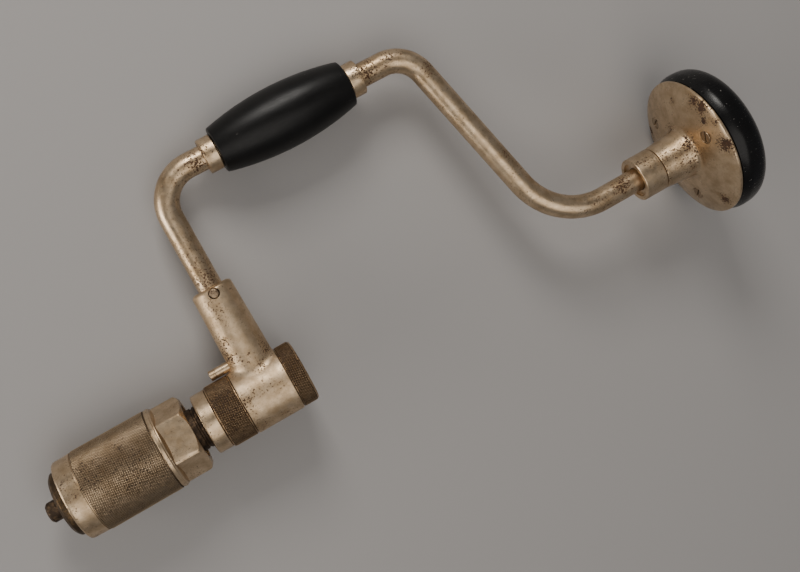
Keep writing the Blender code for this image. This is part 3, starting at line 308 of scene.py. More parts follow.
def rust_masks(tree, place, tarnish, pits, pit_size, blotch):
    """Where rust has eaten the plate, and the stain round its pits."""
    patches = ramp(tree, noise(tree, place, PATCH_SIZE, 2.0), 0.42, 0.66)
    eaten = calc(tree, "ADD", calc(tree, "MULTIPLY", patches, 0.1), calc(tree, "MULTIPLY", tarnish, 0.23))
    pit_edge = calc(tree, "SUBTRACT", 0.775 - 0.13 * pits, eaten)
    fine = calc(tree, "SUBTRACT", noise(tree, place, pit_size, 4.0, 0.62), pit_edge)
    heavy = calc(tree, "MULTIPLY", calc(tree, "MULTIPLY", tarnish, tarnish), 0.26)
    blotch_edge = calc(tree, "SUBTRACT", 0.77 - 0.08 * blotch, heavy)
    coarse = calc(tree, "SUBTRACT", noise(tree, place, BLOTCH_SIZE, 3.0, 0.6), blotch_edge)
    eaten_through = calc(tree, "MAXIMUM", ramp(tree, fine, 0.0, 0.022), ramp(tree, coarse, 0.0, 0.015))
    return eaten_through, ramp(tree, fine, -0.13, 0.02)


def knurl_colours(tree, colour, knurled, clean):
    """Grime and painted shade in the knurl's grooves, and bright worn metal on its tips."""
    crest = add_node(tree, "ShaderNodeAttribute", attribute_name="crest").outputs["Fac"]
    band = add_node(tree, "ShaderNodeAttribute", attribute_name="band").outputs["Fac"]
    # The grooves are darkened to near black: partly grime, partly painted shade for the shadow inside
    # them.
    groove_grime_and_shade = calc(tree, "MULTIPLY", ramp(tree, crest, 0.72, 0.25), calc(tree, "MULTIPLY", band, knurled))
    colour = mix_colour(tree, groove_grime_and_shade, colour, tuple(0.2 * part for part in RUST))
    worn_tip = calc(tree, "MULTIPLY", ramp(tree, crest, 0.55, 0.95), calc(tree, "MULTIPLY", band, 0.7))
    return mix_colour(tree, worn_tip, colour, clean)


# %% Worn plate
def worn_plate(name, pits, pit_size=0.8 * MM, blotch=0.0, shine=0.3, turned_marks=0.0, knurled=0.0,
               clean=CLEAN, dull=DULL):
    """Plated steel with pits of rust. pits and blotch say how much of it is eaten."""
    material, tree, shader = new_material(name)
    place = tool_coordinates(tree)
    tarnish = add_node(tree, "ShaderNodeAttribute", attribute_name="tarnish").outputs["Fac"]
    eaten, halo = rust_masks(tree, place, tarnish, pits, pit_size, blotch)

    cloud = ramp(tree, noise(tree, place, 6 * MM, 4.0, 0.6), 0.38, 0.66)
    film = calc(tree, "ADD", calc(tree, "MULTIPLY", cloud, 0.75), calc(tree, "MULTIPLY", tarnish, 0.5),
                clamp=True)
    stain = tuple((1 - STAIN_SHARE) * skin + STAIN_SHARE * brown for skin, brown in zip(dull, RUST))
    skin = mix_colour(tree, film, clean, dull)
    skin = mix_colour(tree, calc(tree, "MULTIPLY", halo, 0.45), skin, stain)
    rust_shade = mix_colour(tree, ramp(tree, noise(tree, place, 0.9 * MM, 2.0), 0.35, 0.7),
                            tuple(0.3 * part for part in RUST), RUST)
    colour = mix_colour(tree, eaten, skin, rust_shade)
    if knurled > 0:
        colour = knurl_colours(tree, colour, knurled, clean)
    tree.links.new(colour, shader.inputs["Base Color"])

    metal = calc(tree, "SUBTRACT", 1.0, calc(tree, "MULTIPLY", eaten, 0.85))
    tree.links.new(metal, shader.inputs["Metallic"])
    rough = ramp(tree, noise(tree, place, 2.5 * MM, 3.0), 0.3, 0.7, shine - 0.05, shine + 0.1)
    rough = calc(tree, "ADD", rough, calc(tree, "MULTIPLY", film, 0.07))
    rough = calc(tree, "ADD", rough, calc(tree, "MULTIPLY", eaten, 0.4), clamp=True)
    tree.links.new(rough, shader.inputs["Roughness"])

    relief = calc(tree, "MULTIPLY", noise(tree, place, 1.6 * MM, 3.0), 0.12)
    relief = calc(tree, "SUBTRACT", relief, eaten)
    if turned_marks > 0:
        marks = noise(tree, tool_coordinates(tree, (1.0, 0.03, 0.03)), 0.25 * MM, 2.0)
        relief = calc(tree, "ADD", relief, calc(tree, "MULTIPLY", marks, turned_marks))
    bump = add_node(tree, "ShaderNodeBump", {"Strength": 0.55, "Distance": 0.12 * MM, "Height": relief})
    tree.links.new(bump.outputs[0], shader.inputs["Normal"])
    return material


# %% Dark steel, bare steel and composition
def dark_steel(name, base, edge_tint, shine=0.42):
    """Oiled steel that has gone brown, with brighter worn streaks."""
    material, tree, shader = new_material(name)
    place = tool_coordinates(tree)
    wear = ramp(tree, noise(tree, place, 2.2 * MM, 5.0, 0.7), 0.5, 0.68)
    colour = mix_colour(tree, calc(tree, "MULTIPLY", wear, 0.8), base, edge_tint)
    tree.links.new(colour, shader.inputs["Base Color"])
    shader.inputs["Metallic"].default_value = 0.9
    tree.links.new(ramp(tree, noise(tree, place, 1.2 * MM), 0.3, 0.7, shine, shine + 0.2),
                   shader.inputs["Roughness"])
    bump = add_node(tree, "ShaderNodeBump", {
        "Strength": 0.4, "Distance": 0.1 * MM, "Height": noise(tree, place, 0.7 * MM, 4.0, 0.7)})
    tree.links.new(bump.outputs[0], shader.inputs["Normal"])
    return material


def composition(name, base, shine, nicks):
    """Black moulded composition: a soft sheen, faint scratches and a few pale nicks."""
    material, tree, shader = new_material(name)
    place = tool_coordinates(tree)
    shader.inputs["Specular IOR Level"].default_value = 0.24
    nick = ramp(tree, noise(tree, place, 1.0 * MM, 3.0, 0.6), nicks, nicks + 0.015)
    smear = ramp(tree, noise(tree, place, 16 * MM, 3.0), 0.35, 0.7)
    body = mix_colour(tree, smear, base, tuple(1.7 * part for part in base))
    colour = mix_colour(tree, nick, body, (0.30, 0.28, 0.26))
    tree.links.new(colour, shader.inputs["Base Color"])
    scratch = noise(tree, tool_coordinates(tree, (0.12, 1.0, 1.0)), 0.5 * MM, 3.0)
    rough = ramp(tree, scratch, 0.3, 0.75, shine, shine + 0.12)
    rough = calc(tree, "ADD", rough, calc(tree, "MULTIPLY", smear, 0.06))
    tree.links.new(calc(tree, "ADD", rough, calc(tree, "MULTIPLY", nick, 0.4), clamp=True),
                   shader.inputs["Roughness"])
    relief = calc(tree, "SUBTRACT", calc(tree, "MULTIPLY", noise(tree, place, 5 * MM, 2.0), 0.6), nick)
    relief = calc(tree, "ADD", relief, calc(tree, "MULTIPLY", scratch, 0.12))
    bump = add_node(tree, "ShaderNodeBump", {"Strength": 0.35, "Distance": 0.15 * MM, "Height": relief})
    tree.links.new(bump.outputs[0], shader.inputs["Normal"])
    return material


# %% [markdown]
# ## The set of finishes
# One plate recipe serves the whole tool. Its numbers change from piece to piece: the rod has
# scattered pits, the head plate has large dark blotches, and the knurled rings are browner
# because their grooves hold damp. Their grooves also get painted shade.

# %% Make the finishes
finishes = {
    "rod": worn_plate("rod_plate", pits=0.45, pit_size=0.9 * MM),
    "collar": worn_plate("collar_plate", pits=0.42, turned_marks=0.1),
    "housing": worn_plate("housing_plate", pits=0.5, shine=0.42),
    "head_plate": worn_plate("head_plate_plate", pits=0.3, blotch=0.5),
    "nut": worn_plate("nut_plate", pits=0.5, pit_size=0.7 * MM),
    "shell": worn_plate("shell_plate", pits=0.55, shine=0.33, turned_marks=0.12, knurled=0.8),
    "rusty_ring": worn_plate("rusty_ring_plate", pits=0.95, pit_size=0.9 * MM, shine=0.38, knurled=0.9,
                             clean=(0.60, 0.42, 0.25), dull=(0.26, 0.165, 0.09)),
    "screw": worn_plate("screw_steel", pits=0.9, pit_size=0.7 * MM, shine=0.4,
                        clean=(0.42, 0.32, 0.22), dull=(0.26, 0.18, 0.11)),
    "jaw": dark_steel("jaw_steel", (0.055, 0.038, 0.026), (0.20, 0.13, 0.075), 0.48),
    "cone": dark_steel("cone_steel", (0.07, 0.047, 0.028), (0.17, 0.105, 0.045), 0.36),
    "bare": dark_steel("bare_steel", (0.36, 0.33, 0.29), (0.55, 0.50, 0.43), 0.28),
    "spring": dark_steel("spring_steel", (0.16, 0.16, 0.17), (0.30, 0.30, 0.31), 0.3),
    "knob": composition("head_composition", (0.003, 0.0028, 0.0028), 0.2, 0.69),
    "handle": composition("handle_composition", (0.003, 0.0028, 0.0026), 0.3, 0.75),
}
print("finishes:", len(finishes))


# %% [markdown]
# ## Stains and placing
# A stain belongs to a place, not to a material, so it is painted on the mesh: each vertex gets
# a "tarnish" value that fades with its distance from a few chosen points. Painting by hand in
# Vertex Paint gives the same kind of attribute, but points and reaches are easy to repeat.

# %% Paint the tarnish and put pieces in place
def paint_tarnish(item, places):
    """Write the tarnish attribute: (point, reach, strength) in the tool's axes."""
    layer = item.data.attributes.new("tarnish", "FLOAT", "POINT")
    for index, vertex in enumerate(item.data.vertices):
        value = 0.0
        for point, reach, strength in places:
            away = (vertex.co - Vector(point)).length / reach
            value = max(value, strength * exp(-away * away))
        layer.data[index].value = value


def finish_piece(item, body, finish, nodes, tarnish=()):
    """Paint and place a piece, hang it on its body's empty and hide its CAD nodes."""
    paint_tarnish(item, tarnish)
    item.data.materials.clear()
    item.data.materials.append(finishes[finish])
    item.data.transform(tool)
    item.data.update()
    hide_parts(*nodes)
    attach(item, body)
    print(item.name, len(item.data.polygons), "faces")


# %% [markdown]
# ## The crank's rod
# The rod is one length of round bar, bent cold at four places. Its centreline is straight
# runs joined by arcs, so it is drawn as a curve, and a short Geometry Nodes tree sweeps a
# circle along it. Drawing the outline as a mesh by hand would work too, but a swept curve
# keeps the bar round all the way through its bends.

# %% The rod's centreline
LOWER_BEND_R = 17.0 * MM
UPPER_BEND_R = 15.3 * MM
HEAD_BEND_R = 33.0 * MM
ARM_LEAN = radians(14.5)
UPPER_SETBACK = 12.0 * MM
ROD_STEP = radians(3)
RUN_STEP = 2.0 * MM
lower_collar = span("handle_collar_lower")
upper_collar = span("handle_collar_upper")
head_collar = span("frame_collar")
rod_box = span("frame_crank")
ROD_R = -rod_box[0].z
upper_corner_x = upper_collar[1].x + UPPER_SETBACK + UPPER_BEND_R * tan((pi / 2 - ARM_LEAN) / 2)
head_corner_x = upper_corner_x + THROW * tan(ARM_LEAN)
ROD_SOCKET_Y = 24.8 * MM
END_GAP = 0.3 * MM
CUP_DEPTH = 4.9 * MM
cup_floor_x = head_collar[1].x - CUP_DEPTH
rod_end_x = cup_floor_x - END_GAP


def arc_points(before, corner, after, radius):
    """Points of the arc that rounds a corner of the centreline."""
    to_before = (before - corner).normalized()
    to_after = (after - corner).normalized()
    half = to_before.angle(to_after) / 2
    start = corner + to_before * (radius / tan(half))
    centre = corner + (to_before + to_after).normalized() * (radius / sin(half))
    turn = pi - 2 * half
    sign = 1 if to_before.cross(to_after).z < 0 else -1
    steps = round(turn / ROD_STEP)
    return [centre + Matrix.Rotation(sign * turn * step / steps, 3, "Z") @ (start - centre)
            for step in range(steps + 1)]


def run_points(start, end):
    """Points of a straight run, without its start."""
    pieces = max(1, round((end - start).length / RUN_STEP))
    return [start + (end - start) * step / pieces for step in range(1, pieces + 1)]


corners = [Vector((0, ROD_SOCKET_Y, 0)), Vector((0, THROW, 0)), Vector((upper_corner_x, THROW, 0)),
           Vector((head_corner_x, 0, 0)), Vector((rod_end_x, 0, 0))]
path = [corners[0]]
for index, bend_r in enumerate((LOWER_BEND_R, UPPER_BEND_R, HEAD_BEND_R)):
    arc = arc_points(*corners[index:index + 3], bend_r)
    path += run_points(path[-1], arc[0])
    path += arc[1:]
path += run_points(path[-1], corners[-1])
print("rod centreline:", len(path), "points")


# %% Geometry Nodes helpers
def node_group(name, sockets):
    """A Geometry Nodes tree with named inputs; returns the tree and its input node."""
    tree = bpy.data.node_groups.new(name, "GeometryNodeTree")
    for label, kind in sockets:
        tree.interface.new_socket(label, in_out="INPUT", socket_type=kind)
    tree.interface.new_socket("Geometry", in_out="OUTPUT", socket_type="NodeSocketGeometry")
    return tree, tree.nodes.new("NodeGroupInput")


def finish_group(tree, geometry, material_input):
    """End a tree with real geometry and its material."""
    real = add_node(tree, "GeometryNodeRealizeInstances", {"Geometry": geometry})
    painted = add_node(tree, "GeometryNodeSetMaterial", {
        "Geometry": real.outputs[0], "Material": material_input})
    out = tree.nodes.new("NodeGroupOutput")
    tree.links.new(painted.outputs[0], out.inputs[0])


def grow(name, tree, values, start=None):
    """Run a tree on an object and return its result as a plain mesh object."""
    data = start if start is not None else bpy.data.meshes.new(name)
    host = bpy.data.objects.new(name + "_host", data)
    bpy.context.scene.collection.objects.link(host)
    modifier = host.modifiers.new("grow", "NODES")
    modifier.node_group = tree
    keys = {item.name: item.identifier for item in tree.interface.items_tree if item.in_out == "INPUT"}
    for label, value in values.items():
        modifier[keys[label]] = value
    mesh = evaluated_mesh(host)
    bpy.data.objects.remove(host, do_unlink=True)
    item = bpy.data.objects.new(name, mesh)
    bpy.context.scene.collection.objects.link(item)
    return item


# %% Sweep the rod
sweep_tree, sweep_in = node_group("swept_bar", [
    ("Geometry", "NodeSocketGeometry"), ("Radius", "NodeSocketFloat"),
    ("Sides", "NodeSocketInt"), ("Material", "NodeSocketMaterial")])
section = add_node(sweep_tree, "GeometryNodeCurvePrimitiveCircle", {
    "Resolution": sweep_in.outputs["Sides"], "Radius": sweep_in.outputs["Radius"]})
bar_mesh = add_node(sweep_tree, "GeometryNodeCurveToMesh", {
    "Curve": sweep_in.outputs["Geometry"], "Profile Curve": section.outputs[0], "Fill Caps": True})
finish_group(sweep_tree, bar_mesh.outputs[0], sweep_in.outputs["Material"])

centreline = bpy.data.curves.new("rod_centreline", "CURVE")
centreline.dimensions = "3D"
spline = centreline.splines.new("POLY")
spline.points.add(len(path) - 1)
for point, place in zip(spline.points, path):
    point.co = (*place, 1.0)
rod = grow("crank_rod", sweep_tree, {
    "Radius": ROD_R, "Sides": 48, "Material": finishes["rod"]}, centreline)
smooth(rod)

JOURNAL_R = 4.4 * MM
journal = turned("journal", [(rod_end_x - MM, 0), (rod_end_x - MM, JOURNAL_R),
                             (rod_box[1].x, JOURNAL_R, 0.4 * MM), (rod_box[1].x, 0)], 48)
rod = join([rod, journal])
rod_tarnish = [
    ((lower_collar[0].x - 4 * MM, THROW, ROD_R), 7 * MM, 0.75),
    ((lower_collar[0].x - 14 * MM, THROW - 4 * MM, ROD_R), 8 * MM, 0.5),
    ((0, 58 * MM, ROD_R), 8 * MM, 0.6),
    ((0, 76 * MM, ROD_R), 5 * MM, 0.4),
    ((upper_collar[1].x + 4 * MM, THROW, ROD_R), 8 * MM, 0.85),
    ((upper_collar[1].x + 14 * MM, THROW + 2 * MM, ROD_R), 6 * MM, 0.6),
    ((upper_corner_x + 4 * MM, THROW - 14 * MM, ROD_R), 6 * MM, 0.45),
    ((head_collar[0].x - 9 * MM, 1 * MM, ROD_R), 6 * MM, 0.85),
    ((head_collar[0].x - 22 * MM, 0, ROD_R), 7 * MM, 0.6),
    ((head_corner_x + 26 * MM, 0, ROD_R), 10 * MM, 0.35),
    ((upper_corner_x + 19 * MM, THROW * 0.4, ROD_R), 5 * MM, 0.4),
]
finish_piece(rod, "frame", "rod", ["frame_crank"], rod_tarnish)

# %% [markdown]
# ## Collars and the black barrel
# A collar at each end keeps the barrel from sliding along the rod. The barrel itself is a
# solid of revolution whose side is one long arc: bulged in the middle to fill the palm.

# %% Sweep handle and its collars
rod_bore = ROD_R + 0.3 * MM
for name, (low, high) in (("handle_collar_lower", lower_collar), ("handle_collar_upper", upper_collar)):
    outer = high.z
    collar = turned(name + "_turned", [
        (low.x, rod_bore, 0.3 * MM), (low.x, outer, 0.7 * MM), (high.x, outer, 0.5 * MM),
        (high.x, rod_bore, 0.3 * MM)], 96, (0, THROW, 0))
    face = low.x if "lower" in name else high.x
    finish_piece(collar, "frame", "collar", [name], [
        ((face, THROW + 2 * MM, outer), 5 * MM, 0.75), ((face, THROW + outer, 0), 6 * MM, 0.5)])

low, high = span("sweep_handle")
middle_x = (low.x + high.x) / 2
half_length = (high.x - low.x) / 2
BARREL_END_R = 10.3 * MM
FACET_SPARE = 0.03 * MM
barrel_r = high.z - FACET_SPARE
arc_r = (half_length ** 2 + (barrel_r - BARREL_END_R) ** 2) / (2 * (barrel_r - BARREL_END_R))
outline = [(low.x, rod_bore), (low.x, BARREL_END_R - 0.5 * MM),
           (low.x + 0.15 * MM, BARREL_END_R - 0.2 * MM)]
BARREL_RINGS = 44
for step in range(BARREL_RINGS + 1):
    x = -half_length + 0.4 * MM + (2 * half_length - 0.8 * MM) * step / BARREL_RINGS
    outline.append((middle_x + x, barrel_r - arc_r + sqrt(arc_r ** 2 - x ** 2)))
outline += [(high.x - 0.15 * MM, BARREL_END_R - 0.2 * MM), (high.x, BARREL_END_R - 0.5 * MM),
            (high.x, rod_bore)]
barrel = turned("barrel_handle", outline, 144, (0, THROW, 0))
finish_piece(barrel, "handle", "handle", ["sweep_handle"])

# %% [markdown]
# ## The head
# The head is a black composition dome screwed to a dished steel plate. The plate's neck spins
# on the rod's end with a ring of balls in the collar in front of it. The dome's outline is a
# superellipse: flatter on top than a circle and rounder at the rim.

# %% Head collar
collar_r = head_collar[1].z
recess_r = 8.3 * MM
recess_x = head_collar[0].x + 1.4 * MM
cup_r = 8.6 * MM
neck_collar = turned("head_collar_turned", [
    (head_collar[0].x, recess_r, 0.3 * MM),
    (head_collar[0].x, collar_r, 0.5 * MM),
    (head_collar[1].x, collar_r, 0.35 * MM),
    (head_collar[1].x, cup_r, 0.2 * MM),
    (cup_floor_x, cup_r),
    (cup_floor_x, rod_bore),
    (recess_x, rod_bore),
    (recess_x, recess_r, 0.3 * MM),
], 128)
finish_piece(neck_collar, "frame", "collar", ["frame_collar"], [
    ((head_collar[0].x + 4 * MM, 6 * MM, 8.5 * MM), 3.4 * MM, 0.85),
    ((head_collar[0].x + 8 * MM, 7 * MM, 7.5 * MM), 2.6 * MM, 0.8),
    ((head_collar[0].x + 5 * MM, -6 * MM, 8.5 * MM), 2.2 * MM, 0.75)])

# %% Plate
plate_low, plate_high = span("head_plate")
PLATE_R = plate_high.z
PLATE_THICKNESS = 1.6 * MM
PLATE_RISE = 4.8 * MM
NECK_FRONT_R = 10.4 * MM
NECK_REAR_R = 12.1 * MM
rim_x = plate_high.x - PLATE_THICKNESS
plate_x = rim_x - PLATE_RISE
neck_x = head_collar[1].x + 0.3 * MM
journal_bore = JOURNAL_R + 0.3 * MM
DISH_RINGS = 20
DISH_POWER = 1.8


def dish_x(radius):
    """The plate's front face: nearly flat round the neck, curving back at the rim."""
    part = (radius - NECK_REAR_R) / (PLATE_R - NECK_REAR_R)
    return plate_x + PLATE_RISE * part ** DISH_POWER


def plate_spot(turn_degrees, radius_mm):
    """A place on the plate's face, by its angle from +Y towards +Z."""
    turn = radians(turn_degrees)
    radius = radius_mm * MM
    return dish_x(radius), radius * cos(turn), radius * sin(turn)


outline = [
    (plate_low.x, journal_bore),
    (plate_low.x, cup_r - 0.3 * MM),
    (neck_x, cup_r - 0.3 * MM),
    (neck_x, NECK_FRONT_R, 0.5 * MM),
    (plate_x - 2.2 * MM, NECK_REAR_R - 0.25 * MM),
    (plate_x - 1.0 * MM, NECK_REAR_R + 0.15 * MM),
    (plate_x - 0.25 * MM, NECK_REAR_R + 0.9 * MM),
]
for step in range(1, DISH_RINGS + 1):
    radius = NECK_REAR_R + 1.2 * MM + (PLATE_R - 0.9 * MM - NECK_REAR_R - 1.2 * MM) * step / DISH_RINGS
    outline.append((dish_x(radius), radius))
outline += [
    (rim_x + 0.1 * MM, PLATE_R - 0.15 * MM),
    (rim_x + 0.7 * MM, PLATE_R),
    (rim_x + 1.2 * MM, PLATE_R, 0.3 * MM),
    (rim_x + PLATE_THICKNESS, PLATE_R - 0.5 * MM),
    (plate_x + PLATE_THICKNESS, NECK_REAR_R),
    (plate_x + PLATE_THICKNESS, journal_bore),
]
plate = turned("dished_plate", outline, 160)
print("plate:", len(plate.data.polygons), "faces")

# %% Sunk holes for the screws, and the plate's stains
SCREW_CIRCLE_R = 23.0 * MM
SCREW_PHASE = radians(-40)
SCREW_R = 3.0 * MM
SCREW_COUNT = 3
screw_face_x = dish_x(SCREW_CIRCLE_R) - 0.12 * MM
screw_length = span("head_screw_1")[1].x - screw_face_x
for number in range(SCREW_COUNT):
    angle = SCREW_PHASE + 2 * pi * number / SCREW_COUNT
    sink = turned("screw_sink", [
        (screw_face_x - 4 * MM, 0), (screw_face_x - 4 * MM, SCREW_R + 0.3 * MM),
        (screw_face_x + 0.2 * MM, SCREW_R + 0.12 * MM), (screw_face_x + 1.7 * MM, SCREW_R - 1.2 * MM),
        (screw_face_x + 6 * MM, SCREW_R - 1.2 * MM), (screw_face_x + 6 * MM, 0),
    ], 40, (0, SCREW_CIRCLE_R * cos(angle), SCREW_CIRCLE_R * sin(angle)))
    cut(plate, sink)
smooth(plate)
neck_top = (neck_x + 8 * MM, 0, NECK_REAR_R)
finish_piece(plate, "head", "head_plate", ["head_plate"], [
    (neck_top, 10 * MM, 0.92), ((neck_x + 13 * MM, 4 * MM, 11 * MM), 6 * MM, 0.95),
    ((plate_x, NECK_REAR_R, 0), 5 * MM, 0.6), ((plate_x, 0, NECK_REAR_R), 4 * MM, 0.6),
    *((plate_spot(*spot), reach, strength) for spot, reach, strength in (
        ((47, 31.5), 3.0 * MM, 1.15), ((57, 32), 4.0 * MM, 1.15), ((66, 27.5), 2.4 * MM, 1.1),
        ((75, 32.5), 2.4 * MM, 1.1), ((94, 31.5), 4.2 * MM, 1.2), ((20, 26), 2.6 * MM, 1.0),
        ((160, 29), 3.4 * MM, 1.1), ((-62, 31), 3.0 * MM, 1.1), ((-115, 28), 3.0 * MM, 1.1)))])

# %% [markdown]
# ## Screws
# The three screws are one shape repeated round a circle, which is what Geometry Nodes
# instances are for. One slotted countersunk screw is made on its own, and the tree puts a copy
# at each point of a circle.

# %% Plate screws
one_screw = turned("one_screw", [
    (screw_face_x, 0), (screw_face_x, SCREW_R - 0.15 * MM, 0.15 * MM),
    (screw_face_x + 0.3 * MM, SCREW_R - 0.05 * MM),
    (screw_face_x + 1.7 * MM, SCREW_R - 1.5 * MM),
    (screw_face_x + screw_length, 1.2 * MM, 0.5 * MM), (screw_face_x + screw_length, 0)], 40)
SLOT_WIDTH = 0.84 * MM
cut(one_screw, box("screw_slot", (screw_face_x, 0, 0), (1.5 * MM, SLOT_WIDTH, 4 * SCREW_R)))

screw_tree, screw_in = node_group("screw_circle", [
    ("Count", "NodeSocketInt"), ("Circle Radius", "NodeSocketFloat"), ("Phase", "NodeSocketFloat"),
    ("Screw", "NodeSocketObject"), ("Material", "NodeSocketMaterial")])
screw_ring = add_node(screw_tree, "GeometryNodeMeshCircle", {
    "Vertices": screw_in.outputs["Count"], "Radius": screw_in.outputs["Circle Radius"]})
place = add_node(screw_tree, "GeometryNodeInputPosition")
apart = add_node(screw_tree, "ShaderNodeSeparateXYZ", {"Vector": place.outputs[0]})
upright = add_node(screw_tree, "ShaderNodeCombineXYZ", {"Y": apart.outputs["X"], "Z": apart.outputs["Y"]})
turned_ring = add_node(screw_tree, "ShaderNodeVectorRotate", {
    "Vector": upright.outputs[0], "Axis": (1.0, 0.0, 0.0), "Angle": screw_in.outputs["Phase"]})
placed = add_node(screw_tree, "GeometryNodeSetPosition", {
    "Geometry": screw_ring.outputs[0], "Position": turned_ring.outputs[0]})
copy_of = add_node(screw_tree, "GeometryNodeObjectInfo", {"Object": screw_in.outputs["Screw"]})
LARGEST_TURN = 3.0
SLOT_SEED = 3
spin = add_node(screw_tree, "FunctionNodeRandomValue", {3: LARGEST_TURN, 8: SLOT_SEED}, data_type="FLOAT")
tilt = add_node(screw_tree, "ShaderNodeCombineXYZ", {"X": spin.outputs[1]})
copies = add_node(screw_tree, "GeometryNodeInstanceOnPoints", {
    "Points": placed.outputs[0], "Instance": copy_of.outputs["Geometry"], "Rotation": tilt.outputs[0]})
finish_group(screw_tree, copies.outputs[0], screw_in.outputs["Material"])
screws = grow("plate_screws", screw_tree, {
    "Count": SCREW_COUNT, "Circle Radius": SCREW_CIRCLE_R, "Phase": SCREW_PHASE,
    "Screw": one_screw, "Material": finishes["screw"]})
bpy.data.objects.remove(one_screw, do_unlink=True)
smooth(screws)
finish_piece(screws, "head", "screw", ["head_screw_1", "head_screw_2", "head_screw_3"])

# %% The dome
knob_high = span("head_knob")[1]
KNOB_SPARE = 0.08 * MM
KNOB_R = knob_high.z - KNOB_SPARE
KNOB_DOME = 14.5 * MM
KNOB_POWER = 2 / 3.0
WELL_R = 10.0 * MM
knob_wide_x = knob_high.x - KNOB_DOME
rim_r = PLATE_R - 0.4 * MM
back_x = rim_x + PLATE_THICKNESS + 0.3 * MM
well_x = span("head_nut")[1].x + 2.2 * MM
outline = [(well_x, 0), (well_x, WELL_R), (plate_x + 1.9 * MM, WELL_R), (plate_x + 1.9 * MM, NECK_REAR_R),
           (back_x, rim_r - 0.7 * MM, 0.3 * MM)]
UNDER_RINGS = 8
for step in range(UNDER_RINGS):
    part = step / UNDER_RINGS
    lift = sin(part * pi / 2)
    outline.append((back_x + 0.2 * MM + (knob_wide_x - back_x - 0.2 * MM) * part,
                    rim_r + (KNOB_R - rim_r) * lift))
DOME_RINGS = 40
for step in range(DOME_RINGS):
    turn = pi / 2 * step / DOME_RINGS
    outline.append((knob_wide_x + KNOB_DOME * sin(turn) ** KNOB_POWER, KNOB_R * cos(turn) ** KNOB_POWER))
outline.append((knob_high.x, 0))
knob = turned("domed_knob", outline, 160)
finish_piece(knob, "head", "knob", ["head_knob"])

# %% [markdown]
# ## Knurling
# A knurl is pressed into a ring by two hardened wheels, which leave crossing spiral grooves
# and a field of little pyramids between them. One Geometry Nodes tree makes any knurled ring:
# it wraps a grid round a cylinder and lowers every second point, like a chessboard, so each
# high point is a pyramid's tip and each low one a crossing of two grooves. The first and last
# rows of the grid fold inwards and meet, which closes the ring. A bump map would be lighter,
# but it leaves the outline smooth, and a knurl shows on its outline.

# %% Knurl tree: a grid of rows and columns
knurl_tree, knurl_in = node_group("knurled_ring", [
    ("Start", "NodeSocketFloat"), ("Length", "NodeSocketFloat"), ("Radius", "NodeSocketFloat"),
    ("Bore", "NodeSocketFloat"), ("Depth", "NodeSocketFloat"), ("Columns", "NodeSocketInt"),
    ("Rows", "NodeSocketInt"), ("Material", "NodeSocketMaterial")])


def knurl_calc(operation, first, second=0.0):
    return calc(knurl_tree, operation, first, second)


EXTRA_ROWS = 4
grid_rows = knurl_calc("ADD", knurl_in.outputs["Rows"], float(EXTRA_ROWS))
grid_columns = knurl_calc("ADD", knurl_in.outputs["Columns"], 1.0)
grid = add_node(knurl_tree, "GeometryNodeMeshGrid", {
    "Size X": 1.0, "Size Y": 1.0, "Vertices X": grid_columns, "Vertices Y": grid_rows})
where = add_node(knurl_tree, "ShaderNodeSeparateXYZ", {
    "Vector": add_node(knurl_tree, "GeometryNodeInputPosition").outputs[0]})
across = knurl_calc("ADD", where.outputs["X"], 0.5)
column = knurl_calc("ROUND", knurl_calc("MULTIPLY", across, knurl_in.outputs["Columns"]))
last_row = knurl_calc("SUBTRACT", grid_rows, 1.0)
row = knurl_calc("ROUND", knurl_calc("MULTIPLY", knurl_calc("ADD", where.outputs["Y"], 0.5), last_row))
band_row = knurl_calc("SUBTRACT", row, 1.0)
print("knurl tree: grid made")

# %% Knurl tree: which points are tips, and how far out each point lies
before_end = knurl_calc("LESS_THAN", band_row, knurl_calc("SUBTRACT", knurl_in.outputs["Rows"], 0.5))
inside = knurl_calc("MULTIPLY", knurl_calc("GREATER_THAN", band_row, 0.5), before_end)
is_tip = knurl_calc("FLOORED_MODULO", knurl_calc("ADD", column, row), 2.0)
crest = knurl_calc("MULTIPLY", is_tip, inside)
past_end = knurl_calc("GREATER_THAN", band_row, knurl_calc("ADD", knurl_in.outputs["Rows"], 0.5))
on_bore = knurl_calc("ADD", knurl_calc("LESS_THAN", band_row, -0.5), past_end)
low_r = knurl_calc("SUBTRACT", knurl_in.outputs["Radius"], knurl_in.outputs["Depth"])
face_r = knurl_calc("ADD", low_r, knurl_calc("MULTIPLY", crest, knurl_in.outputs["Depth"]))
outside = knurl_calc("SUBTRACT", 1.0, on_bore)
radius_now = knurl_calc("ADD", knurl_calc("MULTIPLY", face_r, outside),
                        knurl_calc("MULTIPLY", knurl_in.outputs["Bore"], on_bore))
print("knurl tree: radius set")

# %% Knurl tree: wrap the grid round the axis and close it
is_last = knurl_calc("GREATER_THAN", row, knurl_calc("SUBTRACT", last_row, 0.5))
clamped = knurl_calc("MINIMUM", knurl_calc("MAXIMUM", band_row, 0.0), knurl_in.outputs["Rows"])
fraction = knurl_calc("MULTIPLY", knurl_calc("DIVIDE", clamped, knurl_in.outputs["Rows"]),
                      knurl_calc("SUBTRACT", 1.0, is_last))
along = knurl_calc("ADD", knurl_in.outputs["Start"],
                   knurl_calc("MULTIPLY", fraction, knurl_in.outputs["Length"]))
angle_now = knurl_calc("MULTIPLY", knurl_calc("DIVIDE", column, knurl_in.outputs["Columns"]), 2 * pi)
wrapped = add_node(knurl_tree, "ShaderNodeCombineXYZ", {
    "X": along,
    "Y": knurl_calc("MULTIPLY", radius_now, knurl_calc("COSINE", angle_now)),
    "Z": knurl_calc("MULTIPLY", radius_now, knurl_calc("SINE", angle_now))})
